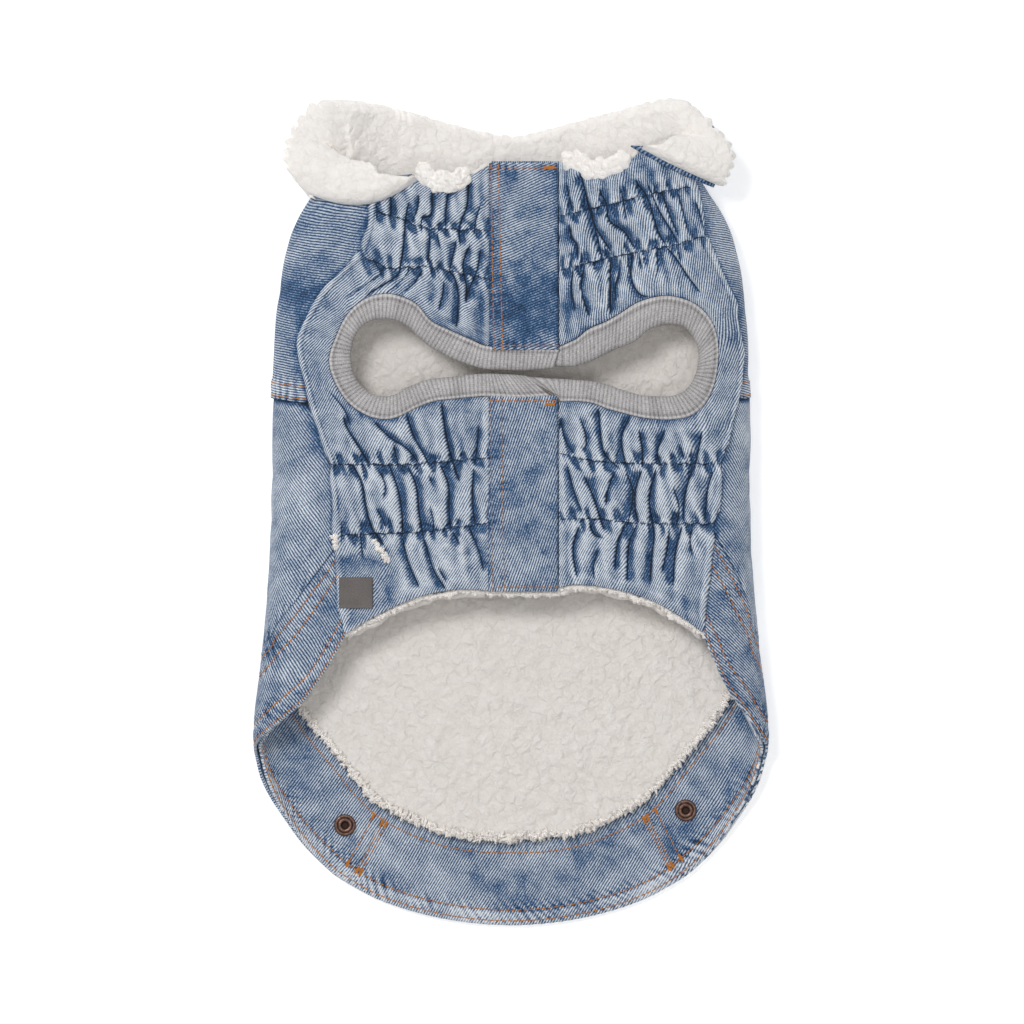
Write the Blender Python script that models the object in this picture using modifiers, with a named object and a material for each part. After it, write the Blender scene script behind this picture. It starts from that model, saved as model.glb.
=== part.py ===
"""Denim dog jacket with a pile lining, laid flat on its back with its belly side up.

The jacket is a flattened tube. Its section has a flat back on the ground, a rounded fold at each
side and a flat top. "Way" is the distance round that section from the middle of the back, negative
to the left, and "depth" is the distance inwards from the outer face. Lengths are millimetres.
"""

import math

import bmesh
import bpy
import numpy as np

MM = 0.001

DENIM = 1.2
PILE = 4.5
COLLAR_PILE = 5.0
PLY_GAP = 0.4
SEAM_GAP = 0.55
FACING_DEPTH = DENIM + 0.6
FACING_SEAM_GAP = 1.0
GATHER_DIP = 0.35
GATHER_FULLNESS = 0.8
GATHER_CLEARANCE = 0.4
LINING_SEAM_GAP = 2.0
ARMHOLE_GAP = 0.6

# Body sections from neck to tail. Columns: y, half width, reach of the side fold, its half height.
BODY_SECTIONS = (
    (165.0, 68.0, 20.0, 13.2),
    (147.0, 82.0, 20.0, 13.8),
    (138.0, 87.6, 20.0, 14.0),
    (129.0, 93.2, 21.0, 14.0),
    (111.5, 99.2, 22.0, 14.0),
    (94.0, 102.2, 22.0, 14.0),
    (50.0, 104.6, 22.0, 14.0),
    (5.0, 105.0, 22.0, 14.0),
    (-21.0, 105.8, 22.0, 14.0),
    (-47.0, 107.8, 22.0, 13.8),
    (-64.5, 109.6, 21.0, 13.4),
    (-82.0, 112.0, 20.0, 12.8),
    (-99.7, 112.8, 19.0, 12.2),
    (-108.5, 112.3, 18.0, 11.5),
    (-126.0, 106.6, 18.0, 10.0),
    (-139.0, 99.5, 18.0, 9.0),
    (-152.0, 92.5, 18.0, 8.0),
    (-182.0, 78.0, 18.0, 7.0),
)

# Side seams on the top, from neck corner to belly corner. Columns: y, distance from the middle.
LEFT_SEAM = (
    (144.0, 60.5),
    (135.0, 60.8),
    (125.0, 62.2),
    (113.0, 66.5),
    (102.0, 77.0),
    (88.0, 87.2),
    (73.3, 92.8),
    (61.0, 90.4),
    (47.3, 87.1),
    (33.7, 83.2),
    (21.3, 79.4),
    (5.1, 77.6),
    (-9.0, 77.0),
    (-30.0, 76.0),
    (-53.5, 72.4),
)
RIGHT_SEAM = (
    (152.0, 76.0),
    (141.0, 80.4),
    (130.0, 83.2),
    (120.0, 85.0),
    (108.0, 90.0),
    (94.0, 96.6),
    (80.0, 99.4),
    (60.0, 100.6),
    (49.0, 98.6),
    (38.9, 96.4),
    (21.3, 92.2),
    (5.0, 90.4),
    (-7.0, 88.4),
    (-26.0, 86.6),
    (-53.0, 84.0),
)

# Back neck edge. Columns: share of the way to the seam, y. Negative shares are on the left.
NECK_EDGE = (
    (-1.0, 144.0),
    (-0.75, 144.5),
    (-0.45, 137.0),
    (0.0, 128.0),
    (0.45, 138.0),
    (0.75, 149.0),
    (1.0, 152.0),
)
# Yoke seam. Columns as above.
YOKE_SEAM = (
    (-1.0, 47.3),
    (-0.7, 51.5),
    (0.0, 53.0),
    (0.7, 51.5),
    (1.0, 49.0),
)

# Tail hem from the belly corners round to the middle of the back.
# Columns: hem edge x, y; band seam x, y; end of the pile lining x, y.
HEM_TOP_LEFT = (
    (72.4, -53.5, 77.0, -16.0, 77.0, -16.0),
    (80.1, -67.5, 86.0, -28.0, 86.0, -28.0),
    (89.3, -81.0, 95.0, -40.0, 95.0, -40.0),
    (99.4, -90.4, 102.5, -49.0, 102.5, -49.0),
    (108.5, -98.0, 106.5, -56.0, 106.5, -56.0),
)
HEM_TOP_RIGHT = (
    (84.0, -53.0, 88.2, -8.0, 88.2, -8.0),
    (88.9, -64.5, 94.0, -18.0, 94.0, -18.0),
    (95.0, -77.2, 99.5, -29.0, 99.5, -29.0),
    (103.0, -88.5, 104.0, -40.0, 104.0, -40.0),
    (109.0, -98.0, 106.6, -51.0, 106.6, -51.0),
)
HEM_FLOOR = (
    (112.3, -106.5, 105.0, -65.0, 105.0, -65.0),
    (109.3, -117.3, 98.0, -77.5, 98.0, -78.0),
    (105.2, -126.1, 89.5, -89.0, 90.0, -90.0),
    (99.6, -134.9, 81.0, -100.0, 81.5, -100.5),
    (93.4, -143.7, 73.0, -110.0, 74.0, -109.5),
    (85.6, -152.5, 65.0, -119.0, 66.0, -119.5),
    (75.0, -161.6, 56.0, -128.0, 56.5, -128.5),
    (60.0, -169.8, 44.0, -138.0, 44.0, -135.5),
    (41.0, -176.4, 29.0, -145.5, 29.0, -141.0),
    (21.0, -180.4, 14.5, -149.8, 14.5, -143.5),
    (0.0, -181.9, 0.0, -151.0, 0.0, -144.0),
)
FACING_JOIN_LEFT = 11.2
FACING_JOIN_RIGHT = 19.1
FACING_JOIN_GAP = 0.06

# Grid of the back pieces. Shares of the way at which the side folds start and end.
FOLD_SHARES = (0.53, 0.92)
FLAT_COLUMNS = 5
FOLD_COLUMNS = 10
TOP_COLUMNS = 2
YOKE_ROWS = (0.0, 0.13, 0.26, 0.37, 0.44, 0.52, 0.62, 0.73, 0.86, 0.93, 1.0)
BODY_ROWS = (0.0, 0.2, 0.4, 0.6, 0.8, 1.0)
BAND_ROWS = (0.0, 0.25, 0.5, 0.75, 1.0)
FACING_ROWS = (0.0, 0.33, 0.67, 1.0)

# Fronts, a C round each armhole from the placket at the chest to the placket at the belly.
# Columns: binding free edge x, y; armhole seam x, y; outer edge x, y; gathers up to the next row;
# gather height. The rows between the two corner rows end on the side seam.
LEFT_FRONT = (
    (-11.9, 62.5, -10.4, 72.4, -10.4, 151.1, 1.6, 0.2),
    (-22.4, 65.6, -18.0, 75.5, -18.0, 147.2, 1.6, 2.1),
    (-32.1, 70.2, -26.8, 79.4, -29.0, 145.9, 1.6, 2.1),
    (-39.6, 75.5, -34.8, 83.4, -38.3, 146.3, 1.6, 2.1),
    (-44.9, 80.7, -40.9, 90.4, -49.0, 144.8, 1.6, 1.7),
    (-49.7, 83.4, -46.6, 93.5, -60.2, 144.0, 1.2, 1.4),
    (-55.0, 84.3, -54.1, 95.3, -65.1, 115.1, 1.0, 1.2),
    (-60.7, 83.6, -62.9, 93.5, -77.4, 101.9, 0.7, 0.8),
    (-66.0, 80.3, -70.8, 87.3, -87.1, 87.8, 0.5, 0.5),
    (-69.1, 74.1, -76.1, 77.7, -92.8, 73.3, 0.5, 0.4),
    (-70.0, 66.7, -79.6, 66.2, -90.2, 61.4, 0.5, 0.5),
    (-68.2, 58.7, -76.6, 55.7, -86.7, 45.5, 0.7, 0.8),
    (-63.8, 53.5, -70.8, 47.3, -81.4, 27.9, 1.0, 1.3),
    (-59.0, 50.8, -62.9, 42.0, -77.9, 5.1, 1.2, 1.7),
    (-54.1, 50.4, -55.4, 40.3, -76.6, -21.3, 1.6, 1.9),
    (-49.7, 51.7, -48.8, 41.6, -72.4, -53.5, 1.7, 2.0),
    (-44.4, 54.8, -40.9, 45.5, -59.8, -46.0, 1.7, 2.1),
    (-37.0, 57.6, -33.4, 48.2, -48.0, -40.3, 1.7, 2.1),
    (-27.7, 58.7, -26.0, 49.1, -36.5, -36.3, 1.7, 2.1),
    (-18.9, 59.8, -18.0, 49.9, -23.3, -34.1, 1.5, 2.0),
    (-11.0, 60.3, -10.6, 50.4, -11.4, -34.5, 0.0, 0.2),
)
LEFT_CORNERS = (5, 15)
RIGHT_FRONT = (
    (22.0, 63.6, 22.0, 72.6, 21.6, 153.3, 0.8, 0.0),
    (28.0, 63.4, 28.0, 75.3, 27.3, 151.0, 1.6, 2.0),
    (34.8, 65.8, 33.9, 79.9, 33.9, 147.4, 1.6, 2.1),
    (40.5, 68.4, 40.9, 82.9, 41.8, 147.8, 1.6, 2.1),
    (47.1, 71.5, 48.0, 86.9, 50.2, 152.0, 1.6, 2.0),
    (54.1, 74.4, 54.1, 90.9, 57.5, 157.6, 1.4, 1.8),
    (59.8, 79.0, 61.2, 93.5, 67.0, 156.6, 1.3, 1.5),
    (66.9, 81.8, 68.2, 94.4, 75.7, 152.0, 1.1, 1.2),
    (73.5, 81.6, 75.2, 93.1, 84.0, 122.0, 0.9, 1.0),
    (77.9, 79.0, 81.8, 90.0, 90.2, 107.1, 0.7, 0.8),
    (81.0, 73.7, 87.1, 84.3, 97.7, 93.1, 0.5, 0.5),
    (82.1, 68.4, 90.2, 76.3, 100.3, 73.3, 0.5, 0.4),
    (81.8, 64.0, 90.6, 66.2, 100.8, 58.7, 0.5, 0.4),
    (80.1, 58.3, 88.9, 55.7, 98.1, 48.2, 0.7, 0.6),
    (77.0, 53.9, 84.9, 47.3, 94.6, 31.5, 1.0, 1.1),
    (73.0, 51.3, 78.8, 42.0, 91.1, 9.5, 1.2, 1.6),
    (67.8, 50.4, 70.8, 40.3, 88.0, -14.7, 1.6, 1.9),
    (62.0, 50.4, 63.4, 40.3, 84.0, -53.0, 1.7, 2.0),
    (56.8, 51.0, 56.8, 41.1, 72.2, -44.7, 1.7, 2.1),
    (50.6, 52.6, 49.7, 42.9, 61.2, -38.9, 1.7, 2.1),
    (44.0, 54.8, 42.7, 44.7, 49.7, -35.0, 1.7, 2.1),
    (37.0, 56.8, 35.6, 47.3, 38.3, -32.8, 1.4, 2.0),
    (29.5, 57.6, 28.6, 48.2, 27.7, -31.9, 0.8, 1.6),
    (22.0, 58.1, 22.0, 48.2, 21.6, -33.2, 0.0, 0.0),
)
RIGHT_CORNERS = (7, 17)

# Ends of the bindings past the fronts, towards the middle. Columns: free edge x, y; seam x, y.
LEFT_BINDING_CHEST_END = ((18.3, 62.6, 21.1, 71.1), (4.0, 61.8, 4.8, 71.7))
LEFT_BINDING_BELLY_END = ((-2.6, 60.2, 4.8, 49.8), (6.6, 59.5, 17.0, 50.6))
RIGHT_BINDING_BELLY_END = ((15.4, 58.4, 21.4, 49.2), (9.4, 59.2, 19.8, 50.0))

# Corners of the placket lengths. Columns: left edge x, right edge x, y.
PLACKET_CHEST = ((-9.6, 20.4, 152.6), (-9.6, 20.6, 112.0), (-9.4, 20.8, 72.6))
PLACKET_BELLY = ((-9.6, 20.4, 48.9), (-10.0, 20.6, 8.0), (-10.2, 20.4, -35.0))
PLACKET_LIFT = 1.2
PLACKET_THICKNESS = 1.8
UNDERLAP_LEFT = -8.6
UNDERLAP_DEPTH = 0.9

# Shirring rows. Columns: x, y.
SHIRRING = (
    ((-58.0, 130.9), (-47.0, 127.8), (-37.4, 123.9), (-10.0, 123.0)),
    ((-64.7, 111.5), (-53.7, 106.3), (-37.0, 107.1), (-10.0, 101.9)),
    ((22.0, 129.4), (45.3, 134.9), (59.0, 138.4), (77.0, 141.9)),
    ((22.0, 105.8), (45.3, 111.5), (72.6, 116.8), (83.6, 120.3)),
    ((-78.8, 20.5), (-45.0, 20.5), (-10.0, 23.5), (-10.0, 23.5)),
    ((-73.5, -10.3), (-40.0, -9.0), (-10.0, -5.0), (-10.0, -5.0)),
    ((22.0, 25.3), (35.6, 22.2), (55.9, 20.9), (91.1, 20.9)),
    ((22.0, -3.3), (39.2, -3.3), (54.1, -5.1), (88.0, -5.5)),
)
SHIRRING_WIDTH = 5.0

# Grid rows of the fronts, as shares of the way from the armhole seam to the outer edge.
FRONT_ROWS = (0.0, 0.15, 0.40, 0.52, 0.65, 0.86, 1.0)
FRONT_LINING_ROWS = (0.0, 0.45, 0.88, 1.0)
COLUMN_APART = 0.22

RIBS = 84
RIB_HEIGHT = 0.45
BINDING_BULGE = 1.3
BINDING_BOTTOM = 5.4

# Collar stations round the neck, on its underside. Columns: share of the way along the back's neck
# edge, over 1 on the fronts; middle x, y, z; outer edge x, y, z.
COLLAR = (
    (-1.19, -64.0, 135.8, 30.4, -91.0, 141.6, 24.4),
    (-1.08, -76.0, 145.0, 28.0, -97.6, 152.0, 23.0),
    (-0.97, -83.0, 152.4, 25.6, -98.8, 159.5, 21.6),
    (-0.88, -86.5, 157.5, 23.0, -94.6, 170.0, 19.4),
    (-0.75, -84.5, 162.5, 19.0, -86.0, 178.4, 17.0),
    (-0.61, -76.5, 162.0, 10.0, -77.0, 181.6, 14.2),
    (-0.50, -64.5, 160.5, 4.6, -66.0, 181.2, 10.4),
    (-0.36, -48.5, 156.5, 1.6, -50.6, 177.6, 6.2),
    (-0.18, -24.5, 151.0, 0.2, -26.0, 171.0, 1.6),
    (0.0, 0.0, 147.5, 0.0, 0.0, 166.0, 0.2),
    (0.2, 24.5, 151.0, 0.2, 27.0, 171.6, 1.6),
    (0.43, 48.5, 156.5, 1.6, 50.6, 177.8, 6.2),
    (0.6, 64.0, 161.0, 4.6, 66.0, 181.4, 10.4),
    (0.73, 74.5, 164.0, 10.0, 75.5, 181.6, 14.2),
    (0.91, 82.0, 163.0, 18.0, 86.0, 173.6, 17.6),
    (1.06, 84.0, 159.5, 22.0, 94.0, 163.6, 19.6),
    (1.19, 81.0, 156.5, 24.6, 97.6, 155.0, 20.6),
    (1.32, 73.5, 149.8, 27.6, 91.6, 142.6, 21.0),
)
# Seam edge of the collar on the fronts. Columns: share as above; x, y, z.
COLLAR_LEFT_FRONT = (
    (-1.19, -38.5, 147.8, 28.6),
    (-1.08, -51.0, 146.5, 28.7),
    (-1.03, -57.0, 146.0, 28.5),
)
COLLAR_RIGHT_FRONT = (
    (1.06, 75.0, 155.4, 21.6),
    (1.19, 66.0, 159.0, 26.4),
    (1.32, 54.0, 159.6, 28.0),
)
COLLAR_ROWS = (0.0, 0.12, 0.4, 0.7, 1.0)
COLLAR_PLY_GAP = 1.2

LABEL_X = (-75.2, -60.4)
LABEL_Y = (-42.4, -28.8)
LABEL_THICKNESS = 0.8
LABEL_MARGIN = 7.0
LABEL_GAP = 0.5

BUTTONS = {"tack_button_left": (-73.0, -137.9), "tack_button_right": (76.8, -131.4)}
# Half profile of a tack button, down its outer side. Columns: radius, height.
BUTTON_PROFILE = (
    (0.0, 0.45),
    (1.5, 0.45),
    (1.7, 1.25),
    (2.3, 1.6),
    (3.1, 1.5),
    (3.4, 1.1),
    (4.3, 1.0),
    (4.8, 0.5),
    (4.8, 0.0),
    (0.0, 0.0),
)
BUTTON_SIDES = 16

# Colours in linear values, then roughness and metallic.
MATERIALS = {
    "washed denim": ((0.19, 0.30, 0.47), 0.85, 0.0),
    "washed denim facing": ((0.14, 0.23, 0.38), 0.85, 0.0),
    "white pile": ((0.80, 0.78, 0.75), 0.95, 0.0),
    "grey rib knit": ((0.36, 0.35, 0.36), 0.9, 0.0),
    "aged copper": ((0.16, 0.07, 0.04), 0.4, 1.0),
    "grey woven tab": ((0.12, 0.12, 0.13), 0.8, 0.0),
}


def smooth(knots, values, at):
    """The cubic curve through values at their knots, read at the places asked for."""
    knots = np.asarray(knots, float)
    values = np.asarray(values, float)
    at = np.clip(np.asarray(at, float), knots[0], knots[-1])
    slopes = np.gradient(values, knots, axis=0)
    cell = np.clip(np.searchsorted(knots, at) - 1, 0, len(knots) - 2)
    width = knots[cell + 1] - knots[cell]
    t = (at - knots[cell]) / width
    if values.ndim > 1:
        t = t[..., None]
        width = width[..., None]
    start, end = values[cell], values[cell + 1]
    rise_in, rise_out = slopes[cell] * width, slopes[cell + 1] * width
    return (
        start * (1 + 2 * t) * (1 - t) ** 2
        + rise_in * t * (1 - t) ** 2
        + end * t**2 * (3 - 2 * t)
        - rise_out * t**2 * (1 - t)
    )


def through(rows, at):
    """Rows read at fractional row numbers."""
    return smooth(np.arange(len(rows)), np.asarray(rows), at)


def by_column(rows, at):
    """Rows sorted on their first column, read at values of that column."""
    rows = np.asarray(sorted(rows))
    values = rows[:, 1] if rows.shape[1] == 2 else rows[:, 1:]
    return smooth(rows[:, 0], values, at)


def section(y):
    """Half width of the flat back, then reach and half height of the side folds at y."""
    half_width, reach, rise = np.moveaxis(by_column(BODY_SECTIONS, y), -1, 0)
    return half_width - reach, reach, rise


def fold_quarter(reach, rise):
    """Length round a quarter of a side fold."""
    return math.pi / 2 * np.sqrt((reach**2 + rise**2) / 2)


def fold_point(beyond, side, y, depth):
    """Point at a way beyond the flat back, on one side, moved inwards by depth."""
    flat, reach, rise = section(y)
    quarter = fold_quarter(reach, rise)
    turn = np.clip(beyond / quarter, 0, 2) * math.pi / 2
    past_top = np.maximum(beyond - 2 * quarter, 0)
    out_x = rise * np.sin(turn)
    out_z = -reach * np.cos(turn)
    length = np.hypot(out_x, out_z)
    x = flat + reach * np.sin(turn) + np.minimum(beyond, 0) - past_top - depth * out_x / length
    z = rise * (1 - np.cos(turn)) - depth * out_z / length
    return np.stack(np.broadcast_arrays(side * x, y, z), axis=-1)


def wrapped(way, y, depth):
    """Point at a way round the section."""
    flat = section(y)[0]
    return fold_point(np.abs(way) - flat, np.where(way < 0, -1.0, 1.0), y, depth)


def way_on_top(x, y):
    """Way, from the flat back's edge, of a point seen from above at x and y."""
    flat, reach, rise = section(y)
    turn = math.pi - np.arcsin(np.clip((np.abs(x) - flat) / reach, 0, 1))
    return turn / (math.pi / 2) * fold_quarter(reach, rise) + np.maximum(flat - np.abs(x), 0)


def way_below(x, y):
    """The same for a point on the back or on the lower half of a side fold."""
    flat, reach, rise = section(y)
    turn = np.arcsin(np.clip((np.abs(x) - flat) / reach, 0, 1))
    return turn / (math.pi / 2) * fold_quarter(reach, rise) + np.minimum(np.abs(x) - flat, 0)


def on_top(x, y, depth):
    """Point of the top layer seen from above at x and y."""
    return fold_point(way_on_top(x, y), np.where(x < 0, -1.0, 1.0), y, depth)


def seam_x(side, y):
    """Distance of the side seam from the middle at y."""
    return by_column(LEFT_SEAM if side < 0 else RIGHT_SEAM, y)


def seam_way(side, y, gap):
    """Way of the back's edge at the side seam, with half of the seam's gap left free."""
    return side * (section(y)[0] + way_on_top(seam_x(side, y), y) - gap / 2)


def across(rows, share, gap):
    """Way and y of a cross seam at shares of the way to the side seams."""
    y = by_column(rows, share)
    reach = np.where(share < 0, -seam_way(-1, y, gap), seam_way(1, y, gap))
    return np.stack([share * reach, y], axis=-1)


def hem_rows():
    """Way and y of the hem edge, the band seam and the lining's end, left to right."""
    places = [(row, -1, way_on_top) for row in HEM_TOP_LEFT]
    places += [(row, -1, way_below) for row in HEM_FLOOR]
    places += [(row, 1, way_below) for row in HEM_FLOOR[-2::-1]]
    places += [(row, 1, way_on_top) for row in HEM_TOP_RIGHT[::-1]]
    rows = []
    for row, side, way_of in places:
        found = []
        for x, y in zip(row[0::2], row[1::2]):
            found += [side * (section(y)[0] + way_of(x, y)), y]
        rows.append(found)
    return np.asarray(rows)


HEM = hem_rows()
HEM_END = len(HEM) - 1


def hem_line(column, at):
    """Way and y along one of the three hem lines: 0 edge, 1 band seam, 2 lining's end."""
    return through(HEM, at)[..., 2 * column : 2 * column + 2]


def coons(top, bottom, left, right, t, v):
    """Flat patch between four edges that meet at their corners."""
    t = t[:, None, None]
    v = v[None, :, None]
    ruled = top[:, None] * (1 - v) + bottom[:, None] * v
    sides = left[None, :] * (1 - t) + right[None, :] * t
    corners = (
        top[0] * (1 - t) * (1 - v) + top[-1] * t * (1 - v) + bottom[0] * (1 - t) * v + bottom[-1] * t * v
    )
    return ruled + sides - corners


def side_edge(side, y_from, y_to, v, gap):
    """Way and y down the back's edge at a side seam."""
    y = y_from + (y_to - y_from) * v
    return np.stack([seam_way(side, y, gap), y], axis=-1)


def back_patch(top, bottom, t, v, gap=SEAM_GAP):
    """Flat patch of the back between two cross seams, from side seam to side seam."""
    left = side_edge(-1, top[0, 1], bottom[0, 1], v, gap)
    right = side_edge(1, top[-1, 1], bottom[-1, 1], v, gap)
    top, bottom = top.copy(), bottom.copy()
    for line in (top, bottom):
        line[0, 0] = seam_way(-1, line[0, 1], gap)
        line[-1, 0] = seam_way(1, line[-1, 1], gap)
    return coons(top, bottom, left, right, t, v)


def moved(line, shift):
    """A seam line shifted square to itself, towards the neck, for the gap between two pieces."""
    along = np.gradient(line, axis=0)
    square = np.stack([-along[:, 1], along[:, 0]], axis=1)
    return line + shift * square / np.linalg.norm(square, axis=1, keepdims=True)


def grid_object(name, material, points, below, thickness, parts):
    """A cloth wall: an open grid whose far side from `below` is its face, given a thickness."""
    columns, rows = points.shape[:2]
    mesh = bpy.data.meshes.new(name)
    sheet = bmesh.new()
    bmesh.ops.create_grid(sheet, x_segments=columns - 1, y_segments=rows - 1, size=1.0)
    sheet.verts.ensure_lookup_table()
    by_row = points.transpose(1, 0, 2).reshape(-1, 3) * MM
    for vertex, place in zip(sheet.verts, by_row):
        vertex.co = place
    sheet.normal_update()
    inwards = (below - points)[columns // 2, rows // 2]
    middle = sheet.faces[:]
    normal = middle[(rows // 2 - 1) * (columns - 1) + columns // 2 - 1].normal
    if np.dot(inwards, normal) > 0:
        bmesh.ops.reverse_faces(sheet, faces=sheet.faces[:])
    bmesh.ops.triangulate(sheet, faces=sheet.faces[:], quad_method="FIXED")
    sheet.to_mesh(mesh)
    sheet.free()
    wall = add_object(name, mesh, material, parts)
    solidify = wall.modifiers.new("cloth thickness", "SOLIDIFY")
    solidify.thickness = thickness * MM
    solidify.offset = -1.0
    solidify.use_even_offset = True
    return wall


def add_object(name, mesh, material, parts):
    mesh.materials.append(MADE_MATERIALS[material])
    mesh.shade_smooth()
    made = bpy.data.objects.new(name, mesh)
    parts.objects.link(made)
    return made


def make_materials():
    made = {}
    for name, (colour, roughness, metallic) in MATERIALS.items():
        material = bpy.data.materials.new(name)
        material.use_nodes = True
        shader = material.node_tree.nodes["Principled BSDF"]
        shader.inputs["Base Color"].default_value = (*colour, 1.0)
        shader.inputs["Roughness"].default_value = roughness
        shader.inputs["Metallic"].default_value = metallic
        material.diffuse_color = (*colour, 1.0)
        made[name] = material
    return made


def steps(count):
    return np.linspace(0.0, 1.0, count)


def back_columns():
    """Shares of the way, -1 to 1, close together on the side folds."""
    flat, fold, top = FOLD_SHARES[0], FOLD_SHARES[1], 1.0
    half = np.concatenate(
        [
            np.linspace(0, flat, FLAT_COLUMNS, endpoint=False),
            np.linspace(flat, fold, FOLD_COLUMNS, endpoint=False),
            np.linspace(fold, top, TOP_COLUMNS + 1),
        ]
    )
    return np.concatenate([-half[:0:-1], half])


def seam_rows_at(share):
    """Row numbers of the hem table whose band seam lies at these shares of the way."""
    fine = np.linspace(0, HEM_END, 20 * HEM_END + 1)
    way = hem_line(1, fine)[:, 0]
    found = way / np.where(way < 0, -way[0], way[-1])
    return np.interp(share, found, fine)


def make_back(parts):
    """Yoke, body and hem band in denim, with the pile lining and the hem facing inside."""
    share = back_columns()
    t = (share + 1) / 2
    hem_at = seam_rows_at(share)
    half = SEAM_GAP / 2

    neck = across(NECK_EDGE, share, SEAM_GAP)
    yoke_seam = across(YOKE_SEAM, share, SEAM_GAP)
    band_seam = hem_line(1, hem_at)
    yoke = back_patch(neck, moved(yoke_seam, half), t, np.array(YOKE_ROWS))
    make_wrapped("back_yoke", "washed denim", yoke, 0.0, DENIM, parts)
    body = back_patch(moved(yoke_seam, -half), moved(band_seam, half), t, np.array(BODY_ROWS))
    make_wrapped("back_body", "washed denim", body, 0.0, DENIM, parts)

    lining_end = moved(hem_line(2, hem_at), FACING_SEAM_GAP / 2)
    below_yoke = back_patch(moved(yoke_seam, -half), lining_end, t, np.array(BODY_ROWS))
    lining = np.concatenate([yoke[:, :-1], below_yoke], axis=1)
    drawn_in = (LINING_SEAM_GAP - SEAM_GAP) / 2
    lining[0, :, 0] += drawn_in
    lining[-1, :, 0] -= drawn_in
    make_wrapped("back_lining", "white pile", lining, FACING_DEPTH, PILE, parts)

    t = hem_at / HEM_END
    edge = hem_line(0, hem_at)
    flat = back_patch(moved(hem_line(1, hem_at), -half), edge, t, np.array(BAND_ROWS))
    make_wrapped("hem_band", "washed denim", flat, 0.0, DENIM, parts)

    inside = moved(hem_line(2, hem_at), -FACING_SEAM_GAP / 2)
    flat = back_patch(inside, edge, t, np.array(FACING_ROWS), LINING_SEAM_GAP)
    stops = (0.0, FACING_JOIN_LEFT, FACING_JOIN_RIGHT, float(HEM_END))
    for name, start, end in zip(("left", "centre", "right"), stops, stops[1:]):
        start += 0.0 if name == "left" else FACING_JOIN_GAP / 2
        end -= 0.0 if name == "right" else FACING_JOIN_GAP / 2
        between = hem_at[(hem_at > start + 0.1) & (hem_at < end - 0.1)]
        wanted = np.concatenate([[start], between, [end]])
        piece = np.stack([through_at(hem_at, row, wanted) for row in flat.transpose(1, 0, 2)], axis=1)
        make_wrapped("hem_facing_" + name, "washed denim facing", piece, FACING_DEPTH, DENIM, parts)


def through_at(knots, values, at):
    """Straight runs between knots, for each of two columns."""
    return np.stack([np.interp(at, knots, values[:, column]) for column in range(2)], axis=-1)


def make_wrapped(name, material, flat, depth, thickness, parts):
    way, y = flat[..., 0], flat[..., 1]
    points = wrapped(way, y, depth)
    below = wrapped(way, y, depth + thickness)
    return grid_object(name, material, points, below, thickness, parts)


def shirring_pull(x, y):
    """How much a shirring row draws the cloth down here, 0 to 1."""
    pull = np.zeros_like(x)
    for row in SHIRRING:
        row = np.asarray(row)
        inside = (x > row[0, 0] - 1) & (x < row[-1, 0] + 1)
        row_y = np.interp(x, row[:, 0], row[:, 1])
        pull = np.maximum(pull, inside * np.exp(-(((y - row_y) / SHIRRING_WIDTH) ** 2)))
    return pull


def label_calm(x, y):
    """0 where the tab lies on the cloth, 1 well away from it."""
    off_x = np.maximum(LABEL_X[0] - x, x - LABEL_X[1])
    off_y = np.maximum(LABEL_Y[0] - y, y - LABEL_Y[1])
    off = np.maximum(np.maximum(off_x, off_y), 0)
    return np.clip((off - LABEL_MARGIN) / LABEL_MARGIN, 0, 1)


def gather_sizes(x, y, v, height):
    """Height of the gathers at a place of a front, fading towards its edges."""
    edge_fade = np.clip(np.minimum(v, 1 - v) / 0.12, 0, 1) * 0.9 + 0.1
    return height * edge_fade * (1 - 0.45 * shirring_pull(x, y)) * label_calm(x, y)


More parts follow.
